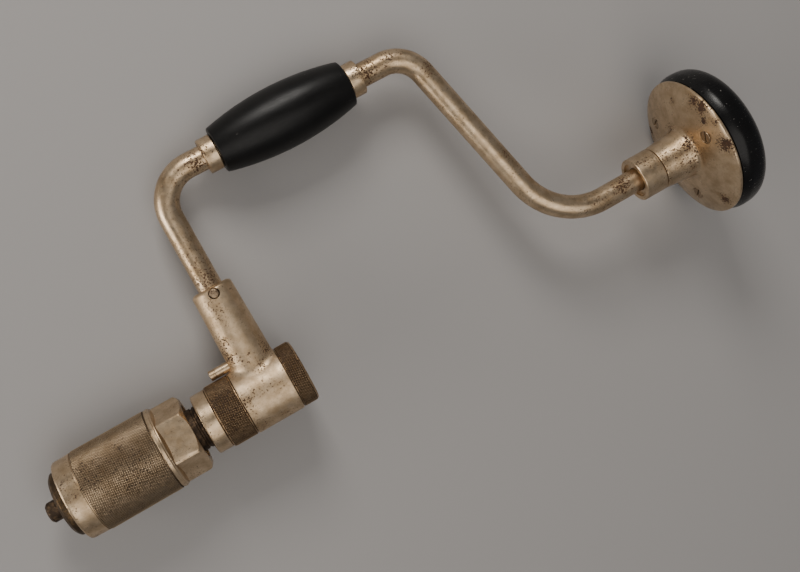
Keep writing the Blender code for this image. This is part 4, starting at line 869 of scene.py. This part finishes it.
# The crest value marks the pyramid tips. The finish brightens the tips as wear and darkens the grooves
# between them with grime and painted shade.
store_crest = add_node(knurl_tree, "GeometryNodeStoreNamedAttribute", {
    "Geometry": grid.outputs[0], "Name": "crest", "Value": crest}, data_type="FLOAT")
store_band = add_node(knurl_tree, "GeometryNodeStoreNamedAttribute", {
    "Geometry": store_crest.outputs[0], "Name": "band", "Value": 1.0}, data_type="FLOAT")
ring = add_node(knurl_tree, "GeometryNodeSetPosition", {
    "Geometry": store_band.outputs[0], "Position": wrapped.outputs[0]})
closed_ring = add_node(knurl_tree, "GeometryNodeMergeByDistance", {
    "Geometry": ring.outputs[0], "Distance": 0.001 * MM})
split = add_node(knurl_tree, "GeometryNodeTriangulate", {"Mesh": closed_ring.outputs[0]},
                 quad_method="SHORTEST_DIAGONAL")
finish_group(knurl_tree, split.outputs[0], knurl_in.outputs["Material"])
print("knurl tree:", len(knurl_tree.nodes), "nodes")

# %% Knurled rings from the tree
KNURL_PITCH = 0.95 * MM
KNURL_DEPTH = 0.22 * MM
KNURL_OVERLAP = 0.3 * MM


def knurled_ring(name, start, length, radius, bore, finish):
    """A closed ring with a diamond knurl; both counts are even so that the pattern meets."""
    item = grow(name, knurl_tree, {
        "Start": start, "Length": length, "Radius": radius, "Bore": bore, "Depth": KNURL_DEPTH,
        "Columns": 2 * round(2 * pi * radius / KNURL_PITCH), "Rows": 2 * round(length / KNURL_PITCH),
        "Material": finishes[finish]})
    mesh_data = bmesh.new()
    mesh_data.from_mesh(item.data)
    bmesh.ops.recalc_face_normals(mesh_data, faces=mesh_data.faces)
    mesh_data.to_mesh(item.data)
    mesh_data.free()
    return item


# %% [markdown]
# ## Chuck shell
# The shell is the knurled sleeve that closes the chuck. A smooth nose in front of the knurl
# has a rounded edge. Body and knurl are two closed rings, one let into the other.

# %% Shell
shell_low, shell_high = span("chuck_shell")
SHELL_R = shell_high.z
NOSE_LENGTH = 8.5 * MM
NOSE_R = 18.1 * MM
SHELL_BORE_R = 17.2 * MM
LIP_R = 15.2 * MM
LIP_THICKNESS = 2.4 * MM
knurl_start = shell_low.x + NOSE_LENGTH + 0.35 * MM
knurl_length = shell_high.x - 0.15 * MM - knurl_start
seat_r = SHELL_R - 0.9 * MM
shell_body = turned("shell_body", [
    (shell_low.x, LIP_R, 0.3 * MM),
    (shell_low.x, NOSE_R, 2.2 * MM),
    (knurl_start - 0.55 * MM, NOSE_R + 0.28 * MM, 0.2 * MM),
    (knurl_start - 0.5 * MM, NOSE_R - 0.2 * MM),
    (knurl_start, NOSE_R - 0.2 * MM),
    (knurl_start, seat_r),
    (shell_high.x, seat_r, 0.2 * MM),
    (shell_high.x, SHELL_BORE_R),
    (shell_low.x + LIP_THICKNESS, SHELL_BORE_R),
    (shell_low.x + LIP_THICKNESS, LIP_R, 0.3 * MM),
], 160)
shell_knurl = knurled_ring("shell_knurl", knurl_start + 0.02 * MM, knurl_length, SHELL_R,
                           seat_r - KNURL_OVERLAP, "shell")
shell = join([shell_body, shell_knurl])
finish_piece(shell, "shell", "shell", ["chuck_shell"], [
    ((shell_low.x + 20 * MM, 9 * MM, 15 * MM), 16 * MM, 0.42),
    ((shell_low.x + 5 * MM, -3 * MM, NOSE_R), 3.5 * MM, 0.55)])

# %% [markdown]
# ## Wrench nut
# A round flange and a hexagon in one piece. A real nut is turned first and the flats are
# milled after, so its corners end in curved chamfers. The mesh is made the same way: a turned
# body is cut down by a hexagonal prism, and a Bevel modifier softens the edges.

# %% Nut
nut_low, nut_high = span("wrench_nut")
HEX_ACROSS = 31.0 * MM
HEX_PHASE = radians(50)
HEX_LENGTH = 11.8 * MM
HEX_BLANK_R = 17.65 * MM
FLANGE_WIDTH = 3.1 * MM
FLANGE_R = 18.6 * MM
NUT_BORE_R = 12.8 * MM
hex_x = nut_high.x - HEX_LENGTH
flange_x = hex_x - FLANGE_WIDTH - 0.3 * MM
corner_r = HEX_ACROSS / 2 / cos(pi / 6)
hex_blank = turned("hex_blank", [
    (hex_x - 0.6 * MM, NUT_BORE_R), (hex_x - 0.6 * MM, HEX_BLANK_R),
    (nut_high.x - 1.5 * MM, HEX_BLANK_R, 0.8 * MM), (nut_high.x, HEX_ACROSS / 2 + 0.1 * MM),
    (nut_high.x, NUT_BORE_R)], 192)
mesh_data = bmesh.new()
hex_ring = [mesh_data.verts.new((hex_x - 2 * MM, corner_r * cos(HEX_PHASE + pi / 3 * side),
                                 corner_r * sin(HEX_PHASE + pi / 3 * side))) for side in range(6)]
grown = bmesh.ops.extrude_face_region(mesh_data, geom=[mesh_data.faces.new(hex_ring)])
bmesh.ops.translate(mesh_data, vec=(HEX_LENGTH + 4 * MM, 0, 0), verts=[
    part for part in grown["geom"] if isinstance(part, bmesh.types.BMVert)])
cut(hex_blank, new_object("hex_prism", mesh_data), "INTERSECT")
soften(hex_blank, 0.22 * MM, 28)
flange = turned("nut_flange", [
    (nut_low.x, NUT_BORE_R),
    (nut_low.x, SHELL_BORE_R - 0.3 * MM),
    (flange_x, SHELL_BORE_R - 0.3 * MM),
    (flange_x, FLANGE_R, 0.35 * MM),
    (flange_x + 1.6 * MM, FLANGE_R, 0.2 * MM),
    (flange_x + 1.9 * MM, FLANGE_R - 0.35 * MM, 0.15 * MM),
    (flange_x + 2.5 * MM, FLANGE_R - 0.5 * MM, 0.3 * MM),
    (hex_x + 0.1 * MM, HEX_ACROSS / 2 + 0.15 * MM),
    (hex_x + 0.1 * MM, NUT_BORE_R),
], 160)
nut = join([flange, hex_blank])
finish_piece(nut, "shell", "nut", ["wrench_nut"], [
    ((hex_x + 3 * MM, 5 * MM, 15 * MM), 3 * MM, 0.6), ((hex_x, -4 * MM, 15 * MM), 5 * MM, 0.55)])

# %% [markdown]
# ## Cone ring, jaws and spindle
# The cone ring squeezes the two jaws. These pieces are unplated and have gone dark brown. The
# jaws keep their CAD shape: a copy of the CAD mesh has its loose triangles merged and its
# edges bevelled. The spindle is turned from an outline with a real thread form, and a box cuts
# the keyway that the jaws sit in. Rings for a thread are simpler than a spiral, and nobody can
# tell them apart in the narrow gap where the thread shows.

# %% Cone ring
cone_low, cone_high = span("cone_ring")
SNOUT_R = 14.8 * MM
MOUTH_R = 6.8 * MM
cone_flange_x = cone_high.x - 4.3 * MM
THROAT_R = 13.1 * MM
cone = turned("cone_ring_turned", [
    (cone_low.x + 0.5 * MM, MOUTH_R, 0.3 * MM),
    (cone_low.x + 0.5 * MM, 9.4 * MM, 0.4 * MM),
    (cone_low.x, 9.9 * MM, 0.3 * MM),
    (cone_low.x, 12.9 * MM, 0.4 * MM),
    (cone_low.x + 1.5 * MM, SNOUT_R, 0.5 * MM),
    (cone_flange_x, SNOUT_R),
    (cone_flange_x, cone_high.z),
    (cone_high.x, cone_high.z),
    (cone_high.x, THROAT_R),
    (cone_low.x + 11.8 * MM, MOUTH_R + 2.52 * MM),
    (cone_low.x + 4.6 * MM, MOUTH_R),
], 144)
finish_piece(cone, "cone", "cone", ["cone_ring"])


# %% Bevelled copies of CAD nodes
def bevelled_copy(name, node, width):
    """A merged and bevelled copy of a CAD node, in the tool's axes."""
    mesh_data = bmesh.new()
    mesh_data.from_mesh(frame["nodes"][node].data)
    bmesh.ops.remove_doubles(mesh_data, verts=mesh_data.verts, dist=0.002 * MM)
    bmesh.ops.dissolve_limit(mesh_data, angle_limit=radians(0.5), verts=mesh_data.verts,
                             edges=mesh_data.edges)
    bmesh.ops.transform(mesh_data, matrix=to_tool, verts=mesh_data.verts)
    item = new_object(name, mesh_data)
    soften(item, width, 30)
    return item


for node in ("jaw_near", "jaw_far"):
    finish_piece(bevelled_copy(node + "_bevelled", node, 0.2 * MM), node, "jaw", [node])

# %% Spindle
spindle_low, spindle_high = span("chuck_spindle")
collar_low, collar_high = span("spindle_collar")
THREAD_R = 12.5 * MM
NECK_R = 9.7 * MM
JOURNAL_SEAT_R = 5.0 * MM
COLLAR_SEAT_R = 7.5 * MM
COLLAR_BORE_R = 7.8 * MM
BIT_BORE_R = 6.6 * MM
BIT_BORE_DEPTH = 29.0 * MM
THREAD_PITCH = 2.54 * MM
thread_end_x = nut_high.x - 2.5 * MM
thread = [(spindle_low.x, THREAD_R - 0.8 * MM)]
x = spindle_low.x + 0.8 * MM
while x < thread_end_x - THREAD_PITCH / 2:
    thread += [(x, THREAD_R), (x + THREAD_PITCH / 2, THREAD_R - 0.7 * MM)]
    x += THREAD_PITCH
neck_groove = collar_low.x - 1.6 * MM
spindle = turned("spindle_turned", [
    (spindle_low.x + BIT_BORE_DEPTH, 0),
    (spindle_low.x + BIT_BORE_DEPTH, BIT_BORE_R),
    (spindle_low.x, BIT_BORE_R),
    *thread,
    (thread_end_x, THREAD_R - 0.4 * MM),
    (thread_end_x, NECK_R, 0.3 * MM),
    (neck_groove - 1.0 * MM, NECK_R, 0.2 * MM),
    (neck_groove - 0.8 * MM, NECK_R - 0.5 * MM, 0.2 * MM),
    (neck_groove, NECK_R - 0.5 * MM, 0.2 * MM),
    (neck_groove + 0.2 * MM, NECK_R, 0.2 * MM),
    (collar_low.x - 0.3 * MM, NECK_R, 0.2 * MM),
    (collar_low.x - 0.3 * MM, COLLAR_SEAT_R),
    (collar_high.x, COLLAR_SEAT_R),
    (collar_high.x, JOURNAL_SEAT_R),
    (spindle_high.x, JOURNAL_SEAT_R, 0.3 * MM),
    (spindle_high.x, 0),
], 128)
KEYWAY_WIDTH = 9.4 * MM
KEYWAY_DEPTH = 6.0 * MM
cut(spindle, box("jaw_keyway", (spindle_low.x, 0, 0), (2 * KEYWAY_DEPTH, KEYWAY_WIDTH, 4 * THREAD_R)))
smooth(spindle)
finish_piece(spindle, "spindle", "jaw", ["chuck_spindle"])

smooth_collar = turned("spindle_collar_turned", [
    (collar_low.x, COLLAR_BORE_R), (collar_low.x, collar_high.z, 0.9 * MM),
    (collar_high.x, collar_high.z, 0.35 * MM), (collar_high.x, COLLAR_BORE_R)], 144)
finish_piece(smooth_collar, "spindle", "collar", ["spindle_collar"], [
    ((collar_low.x, 6 * MM, 12 * MM), 3 * MM, 0.3)])

# %% [markdown]
# ## Selector ring and rear cap
# The ring turns to choose the ratchet's direction, and the cap closes the back of the housing.
# Both are knurled and both are the rustiest pieces of the tool. Each is a plain turned body
# with a groove round it, and the knurl tree fills the groove. Cutting the knurl into the body
# would need a Boolean with thousands of little cuts; two closed rings joined are far quicker.

# %% Selector ring
selector_low, selector_high = span("selector_ring")
SELECTOR_R = selector_high.z
SLEEVE_R = 7.6 * MM
CAM_SEAT_R = 6.8 * MM
JOURNAL_BORE_R = 5.3 * MM
housing_low, housing_high = span("ratchet_housing")
ring_end_x = housing_low.x - 0.3 * MM
ring_core_r = SELECTOR_R - 0.9 * MM
KNURL_MARGIN = 0.5 * MM
wall_end_x = housing_low.x + 4.0 * MM
selector_body = turned("selector_body", [
    (selector_low.x, JOURNAL_BORE_R),
    (selector_low.x, SELECTOR_R - 0.25 * MM, 0.25 * MM),
    (selector_low.x + KNURL_MARGIN, SELECTOR_R - 0.2 * MM, 0.1 * MM),
    (selector_low.x + KNURL_MARGIN, ring_core_r),
    (ring_end_x - KNURL_MARGIN, ring_core_r),
    (ring_end_x - KNURL_MARGIN, SELECTOR_R - 0.2 * MM, 0.1 * MM),
    (ring_end_x, SELECTOR_R - 0.25 * MM, 0.25 * MM),
    (ring_end_x, SLEEVE_R),
    (wall_end_x, SLEEVE_R),
    (wall_end_x, CAM_SEAT_R),
    (selector_high.x, CAM_SEAT_R),
    (selector_high.x, JOURNAL_BORE_R),
], 144)
selector_knurl = knurled_ring("selector_knurl", selector_low.x + KNURL_MARGIN + 0.02 * MM,
                              ring_end_x - selector_low.x - 2 * KNURL_MARGIN - 0.04 * MM, SELECTOR_R,
                              ring_core_r - KNURL_OVERLAP, "rusty_ring")
selector = join([selector_body, selector_knurl])
finish_piece(selector, "selector", "rusty_ring", ["selector_ring"], [
    ((selector_low.x + 6 * MM, 6 * MM, 13 * MM), 9 * MM, 0.45)])

# %% Rear cap
cap_low, cap_high = span("ratchet_cap")
CAP_R = cap_high.z
PLUG_R = 11.2 * MM
CAP_BACK = 3.8 * MM
cap_front_x = housing_high.x + 0.3 * MM
cap_core_r = CAP_R - 0.9 * MM
cap_body = turned("cap_body", [
    (cap_high.x - CAP_BACK, 0),
    (cap_high.x - CAP_BACK, JOURNAL_BORE_R),
    (cap_low.x, JOURNAL_BORE_R),
    (cap_low.x, PLUG_R, 0.3 * MM),
    (cap_front_x, PLUG_R),
    (cap_front_x, CAP_R - 0.25 * MM, 0.2 * MM),
    (cap_front_x + 0.3 * MM, CAP_R - 0.2 * MM),
    (cap_front_x + 0.3 * MM, cap_core_r),
    (cap_high.x - 1.0 * MM, cap_core_r),
    (cap_high.x - 1.0 * MM, CAP_R - 0.15 * MM, 0.2 * MM),
    (cap_high.x - 0.1 * MM, CAP_R - 0.9 * MM, 0.4 * MM),
    (cap_high.x, 9.5 * MM, 0.3 * MM),
    (cap_high.x - 0.5 * MM, 9.0 * MM, 0.3 * MM),
    (cap_high.x - 0.5 * MM, 0),
], 144)
knurl_start = cap_front_x + 0.32 * MM
cap_knurl = knurled_ring("cap_knurl", knurl_start, cap_high.x - 1.02 * MM - knurl_start, CAP_R,
                         cap_core_r - KNURL_OVERLAP, "rusty_ring")
cap = join([cap_body, cap_knurl])
finish_piece(cap, "frame", "rusty_ring", ["ratchet_cap"], [
    ((cap_front_x + 3 * MM, 8 * MM, 12 * MM), 10 * MM, 0.5),
    ((cap_front_x + 3 * MM, 14 * MM, 0), 8 * MM, 0.4)])

# %% [markdown]
# ## Ratchet housing
# The housing is a short drum with a round boss that holds the rod's end. The casting runs
# from one into the other through a soft fillet. A Boolean would leave a hard crease there, so
# the boss is drawn ring by ring: at every angle round it, a small curve leaves the boss's
# wall and lands flat on the drum.

# %% Drum
HOUSING_R = 14.7 * MM
BORE_R = 11.5 * MM
BOSS_TOP_R = 9.3 * MM
BOSS_ROOT_R = 10.0 * MM
FILLET = 2.6 * MM
boss_top = housing_high.y
RIVET_R = 2.0 * MM
rivet_y = boss_top - 2.9 * MM
drum = turned("drum", [
    (housing_low.x, SLEEVE_R + 0.3 * MM),
    (housing_low.x, HOUSING_R, 0.45 * MM),
    (housing_high.x, HOUSING_R, 0.45 * MM),
    (housing_high.x, BORE_R),
    (wall_end_x, BORE_R),
    (wall_end_x, SLEEVE_R + 0.3 * MM),
], 160)

print("drum:", len(drum.data.polygons), "faces")

# %% Boss
BOSS_SEGMENTS = 144
boss_outline = [
    (boss_top, BOSS_TOP_R - 1.9 * MM),
    (boss_top - 0.1 * MM, BOSS_TOP_R - 1.5 * MM),
    (boss_top - 0.35 * MM, BOSS_TOP_R - 0.9 * MM),
    (boss_top - 0.8 * MM, BOSS_TOP_R - 0.35 * MM),
    (boss_top - 1.4 * MM, BOSS_TOP_R - 0.06 * MM),
    (boss_top - 2.0 * MM, BOSS_TOP_R),
]
WALL_RINGS = 10
FILLET_RINGS = 8


def boss_wall_r(y):
    """The boss tapers slightly from its root to its top."""
    part = (y - HOUSING_R) / (boss_top - HOUSING_R)
    return BOSS_ROOT_R + (BOSS_TOP_R - BOSS_ROOT_R) * part


mesh_data = bmesh.new()
columns = []
for step in range(BOSS_SEGMENTS):
    angle = 2 * pi * step / BOSS_SEGMENTS
    out_x, out_z = cos(angle), sin(angle)
    column = [(radius * out_x, y, radius * out_z) for y, radius in boss_outline]
    foot_y = sqrt(HOUSING_R ** 2 - (BOSS_ROOT_R * out_z) ** 2)
    start_y = foot_y + FILLET
    for ring_step in range(1, WALL_RINGS + 1):
        y = boss_outline[-1][0] + (start_y - boss_outline[-1][0]) * ring_step / WALL_RINGS
        radius = boss_wall_r(y)
        column.append((radius * out_x, y, radius * out_z))
    room = (housing_high.x - 0.5 * MM) / max(out_x, 1e-6) - BOSS_ROOT_R if out_x > 0 else FILLET
    flare = max(0.05 * MM, min(FILLET, room))
    end_r = BOSS_ROOT_R + flare
    end_z = end_r * out_z
    end_y = sqrt(max(HOUSING_R ** 2 - end_z ** 2, 0.0)) - 0.02 * MM
    start = Vector(column[-1])
    corner = Vector((BOSS_ROOT_R * out_x, foot_y, BOSS_ROOT_R * out_z))
    end = Vector((end_r * out_x, end_y, end_z))
    for ring_step in range(1, FILLET_RINGS + 1):
        part = ring_step / FILLET_RINGS
        spot = (1 - part) ** 2 * start + 2 * part * (1 - part) * corner + part ** 2 * end
        column.append(tuple(spot))
    column.append((end_r * 0.97 * out_x, end_y - 1.2 * MM, end_z * 0.97))
    columns.append([mesh_data.verts.new(spot) for spot in column])
top = mesh_data.verts.new((0, boss_top, 0))
for step in range(BOSS_SEGMENTS):
    here, after = columns[step], columns[(step + 1) % BOSS_SEGMENTS]
    mesh_data.faces.new((top, here[0], after[0]))
    for low_index in range(len(here) - 1):
        quad = (here[low_index], here[low_index + 1], after[low_index + 1], after[low_index])
        mesh_data.faces.new(quad)
mesh_data.faces.new([column[-1] for column in columns])
boss = new_object("boss", mesh_data)
print("boss:", len(boss.data.polygons), "faces")

# %% Rod socket and rivet hole
SOCKET_FLOOR = 24.5 * MM
cut(boss, turned("socket_cutter", [
    (SOCKET_FLOOR, 0), (SOCKET_FLOOR, rod_bore - 0.15 * MM), (boss_top + 5 * MM, rod_bore - 0.15 * MM),
    (boss_top + 5 * MM, 0)], 64, (0, 0, 0), "Y"))
cut(boss, turned("rivet_cutter", [
    (-15 * MM, 0), (-15 * MM, RIVET_R + 0.5 * MM), (15 * MM, RIVET_R + 0.5 * MM), (15 * MM, 0)],
    40, (0, rivet_y, 0), "Z"))
smooth(boss)
housing = join([drum, boss])
finish_piece(housing, "frame", "housing", ["ratchet_housing"], [
    ((-3 * MM, 44 * MM, 9 * MM), 3.5 * MM, 0.6), ((-3 * MM, 36 * MM, 9 * MM), 4 * MM, 0.6),
    ((-6 * MM, 29 * MM, 8 * MM), 3 * MM, 0.6), ((-8 * MM, 21 * MM, 5 * MM), 4 * MM, 0.9),
    ((2 * MM, 8 * MM, 12 * MM), 4 * MM, 0.7), ((-5 * MM, 7 * MM, 13 * MM), 3 * MM, 0.75),
    ((-11 * MM, 3 * MM, 14 * MM), 3 * MM, 0.8), ((8 * MM, 17 * MM, 5 * MM), 4 * MM, 0.6),
    ((-9 * MM, -10 * MM, 10 * MM), 4 * MM, 0.6), ((7 * MM, 6 * MM, 13 * MM), 3 * MM, 0.6)])

# %% [markdown]
# ## Pin and rivet
# A cross rivet locks the rod in its boss, and the pawls' pin stands out in front of it. They
# are short turned bars with rounded ends. The rivet's hole is cut a little wide, so that a
# dark line shows round its head, as it does on a rivet that has been filed flush.

# %% Rivet and pin
rivet_low, rivet_high = span("frame_rivet")
rivet = turned("cross_rivet", [
    (rivet_low.z, 0), (rivet_low.z + 0.1 * MM, RIVET_R * 0.6), (rivet_low.z + 0.4 * MM, RIVET_R, 0.2 * MM),
    (rivet_high.z - 0.4 * MM, RIVET_R, 0.2 * MM), (rivet_high.z - 0.1 * MM, RIVET_R * 0.6),
    (rivet_high.z, 0)], 48, (0, rivet_y, 0), "Z")
finish_piece(rivet, "frame", "screw", ["frame_rivet"], [
    ((0, rivet_y, rivet_high.z), 4 * MM, 0.3)])

pin_low, pin_high = span("pawl_pin")
PIN_R = (pin_high.z - pin_low.z) / 2
pin = turned("pawl_pin_turned", [
    (pin_low.x, 0), (pin_low.x, PIN_R, 0.35 * MM), (pin_low.x + 2.6 * MM, PIN_R, 0.2 * MM),
    (pin_low.x + 2.8 * MM, PIN_R - 0.12 * MM, 0.1 * MM), (pin_low.x + 3.0 * MM, PIN_R, 0.1 * MM),
    (pin_high.x, PIN_R, 0.3 * MM), (pin_high.x, 0)], 64, (0, PIN_Y, 0))
finish_piece(pin, "frame", "collar", ["pawl_pin"], [
    ((pin_low.x, PIN_Y, 0), 2.6 * MM, 0.9)])

# %% [markdown]
# ## Thrust balls
# Balls are one small sphere repeated round a circle, so a tree instances them. They are
# hidden inside the head and the chuck, but they are there when the model is taken apart.

# %% Balls
ball_tree, ball_in = node_group("ball_circle", [
    ("Count", "NodeSocketInt"), ("Circle Radius", "NodeSocketFloat"), ("Ball Radius", "NodeSocketFloat"),
    ("Place", "NodeSocketFloat"), ("Material", "NodeSocketMaterial")])
ball_ring = add_node(ball_tree, "GeometryNodeMeshCircle", {
    "Vertices": ball_in.outputs["Count"], "Radius": ball_in.outputs["Circle Radius"]})
spots = add_node(ball_tree, "ShaderNodeSeparateXYZ", {
    "Vector": add_node(ball_tree, "GeometryNodeInputPosition").outputs[0]})
standing = add_node(ball_tree, "ShaderNodeCombineXYZ", {
    "X": ball_in.outputs["Place"], "Y": spots.outputs["X"], "Z": spots.outputs["Y"]})
ball_points = add_node(ball_tree, "GeometryNodeSetPosition", {
    "Geometry": ball_ring.outputs[0], "Position": standing.outputs[0]})
one_ball = add_node(ball_tree, "GeometryNodeMeshIcoSphere", {
    "Radius": ball_in.outputs["Ball Radius"], "Subdivisions": 3})
balls_made = add_node(ball_tree, "GeometryNodeInstanceOnPoints", {
    "Points": ball_points.outputs[0], "Instance": one_ball.outputs[0]})
finish_group(ball_tree, balls_made.outputs[0], ball_in.outputs["Material"])
for node, body, count in (("head_bearing", "head", 9), ("chuck_bearing", "cone", 24)):
    low, high = span(node)
    ball_r = (high.x - low.x) / 2
    balls = grow(node + "_balls", ball_tree, {
        "Count": count, "Circle Radius": high.y - ball_r, "Ball Radius": ball_r,
        "Place": (low.x + high.x) / 2, "Material": finishes["bare"]})
    balls.data.shade_smooth()
    finish_piece(balls, body, "bare", [node])

# %% [markdown]
# ## Hidden pieces
# The ratchet's inner pieces, the nut and the washers keep their CAD meshes. They still get a
# proper finish for the day someone takes the model apart.

# %% Finish the CAD nodes that stay
kept = {
    "bare": ["head_nut", "head_washer", "ratchet_wheel", "thrust_washer", "selector_cam", "detent_ball",
             "pawl_drive", "pawl_reverse"],
    "spring": ["detent_spring", "pawl_spring", "jaw_spring"],
}
for finish, nodes in kept.items():
    for node in nodes:
        mesh = frame["nodes"][node].data
        mesh.materials.clear()
        mesh.materials.append(finishes[finish])
print("CAD nodes with a new finish:", sum(len(nodes) for nodes in kept.values()))

# %% [markdown]
# ## Table, light and camera
# A plain pale table, three soft square lights and a dim grey sky. The smallest light stands
# above the top edge of the view and gives the shadows their direction. The other two, at the
# left and at the bottom, are there for the metal: plate shows what it reflects, so they are
# wide. Small lamps would give hard white dots on the rod.

# %% Table
TABLE_HALF = 3.0
mesh_data = bmesh.new()
bmesh.ops.create_grid(mesh_data, x_segments=1, y_segments=1, size=TABLE_HALF)
table = new_object("table", mesh_data)
material, tree, shader = new_material("table_paper")
shader.inputs["Base Color"].default_value = (0.36, 0.347, 0.338, 1.0)
shader.inputs["Roughness"].default_value = 0.85
table.data.materials.append(material)
print("table", 2 * TABLE_HALF, "m wide")

# %% Camera
CAMERA_PLACE = Vector((-2.875, 57.246, 448.213)) * MM
LOOK = Vector((0.16696, -0.10101, -0.98078))
UP = Vector((0.48479, 0.87460, -0.00755))
RIGHT = LOOK.cross(UP)
SENSOR_WIDTH = 36.0
LENS_RATIO = 1.27306
camera_data = bpy.data.cameras.new("camera")
camera_data.sensor_fit = "HORIZONTAL"
camera_data.sensor_width = SENSOR_WIDTH
camera_data.lens = LENS_RATIO * SENSOR_WIDTH
camera_data.clip_start = 0.01
camera = bpy.data.objects.new("camera", camera_data)
stand = Matrix((RIGHT, UP, -LOOK)).transposed().to_4x4()
stand.translation = CAMERA_PLACE
camera.matrix_world = tool @ stand
bpy.context.scene.collection.objects.link(camera)
bpy.context.scene.camera = camera
print("lens", round(camera_data.lens, 2), "mm")


# %% Lights
def soft_light(name, offset, size, power, colour):
    """A square area light aimed at the tool; its offset is right, up and towards the camera."""
    data = bpy.data.lights.new(name, "AREA")
    data.shape = "SQUARE"
    data.size = size
    data.energy = power
    data.color = colour
    item = bpy.data.objects.new(name, data)
    middle = tool @ Vector((60 * MM, 30 * MM, 0))
    directions = tool.to_3x3()
    item.location = middle + directions @ (RIGHT * offset[0] + UP * offset[1] - LOOK * offset[2])
    item.rotation_euler = (middle - item.location).to_track_quat("-Z", "Y").to_euler()
    bpy.context.scene.collection.objects.link(item)


WARM = (1.0, 0.95, 0.89)
soft_light("top", (-0.1, 0.62, 0.6), 0.3, 4.2, (1.0, 0.96, 0.91))
soft_light("side", (-0.88, -0.3, 0.32), 0.7, 8.0, WARM)
soft_light("front", (0.3, -0.5, 0.95), 1.0, 5.2, WARM)
world = bpy.data.worlds.new("sky")
world.use_nodes = True
world.node_tree.nodes["Background"].inputs["Color"].default_value = (0.30, 0.30, 0.31, 1.0)
world.node_tree.nodes["Background"].inputs["Strength"].default_value = 0.6
bpy.context.scene.world = world
print("lights:", len(bpy.data.lights))
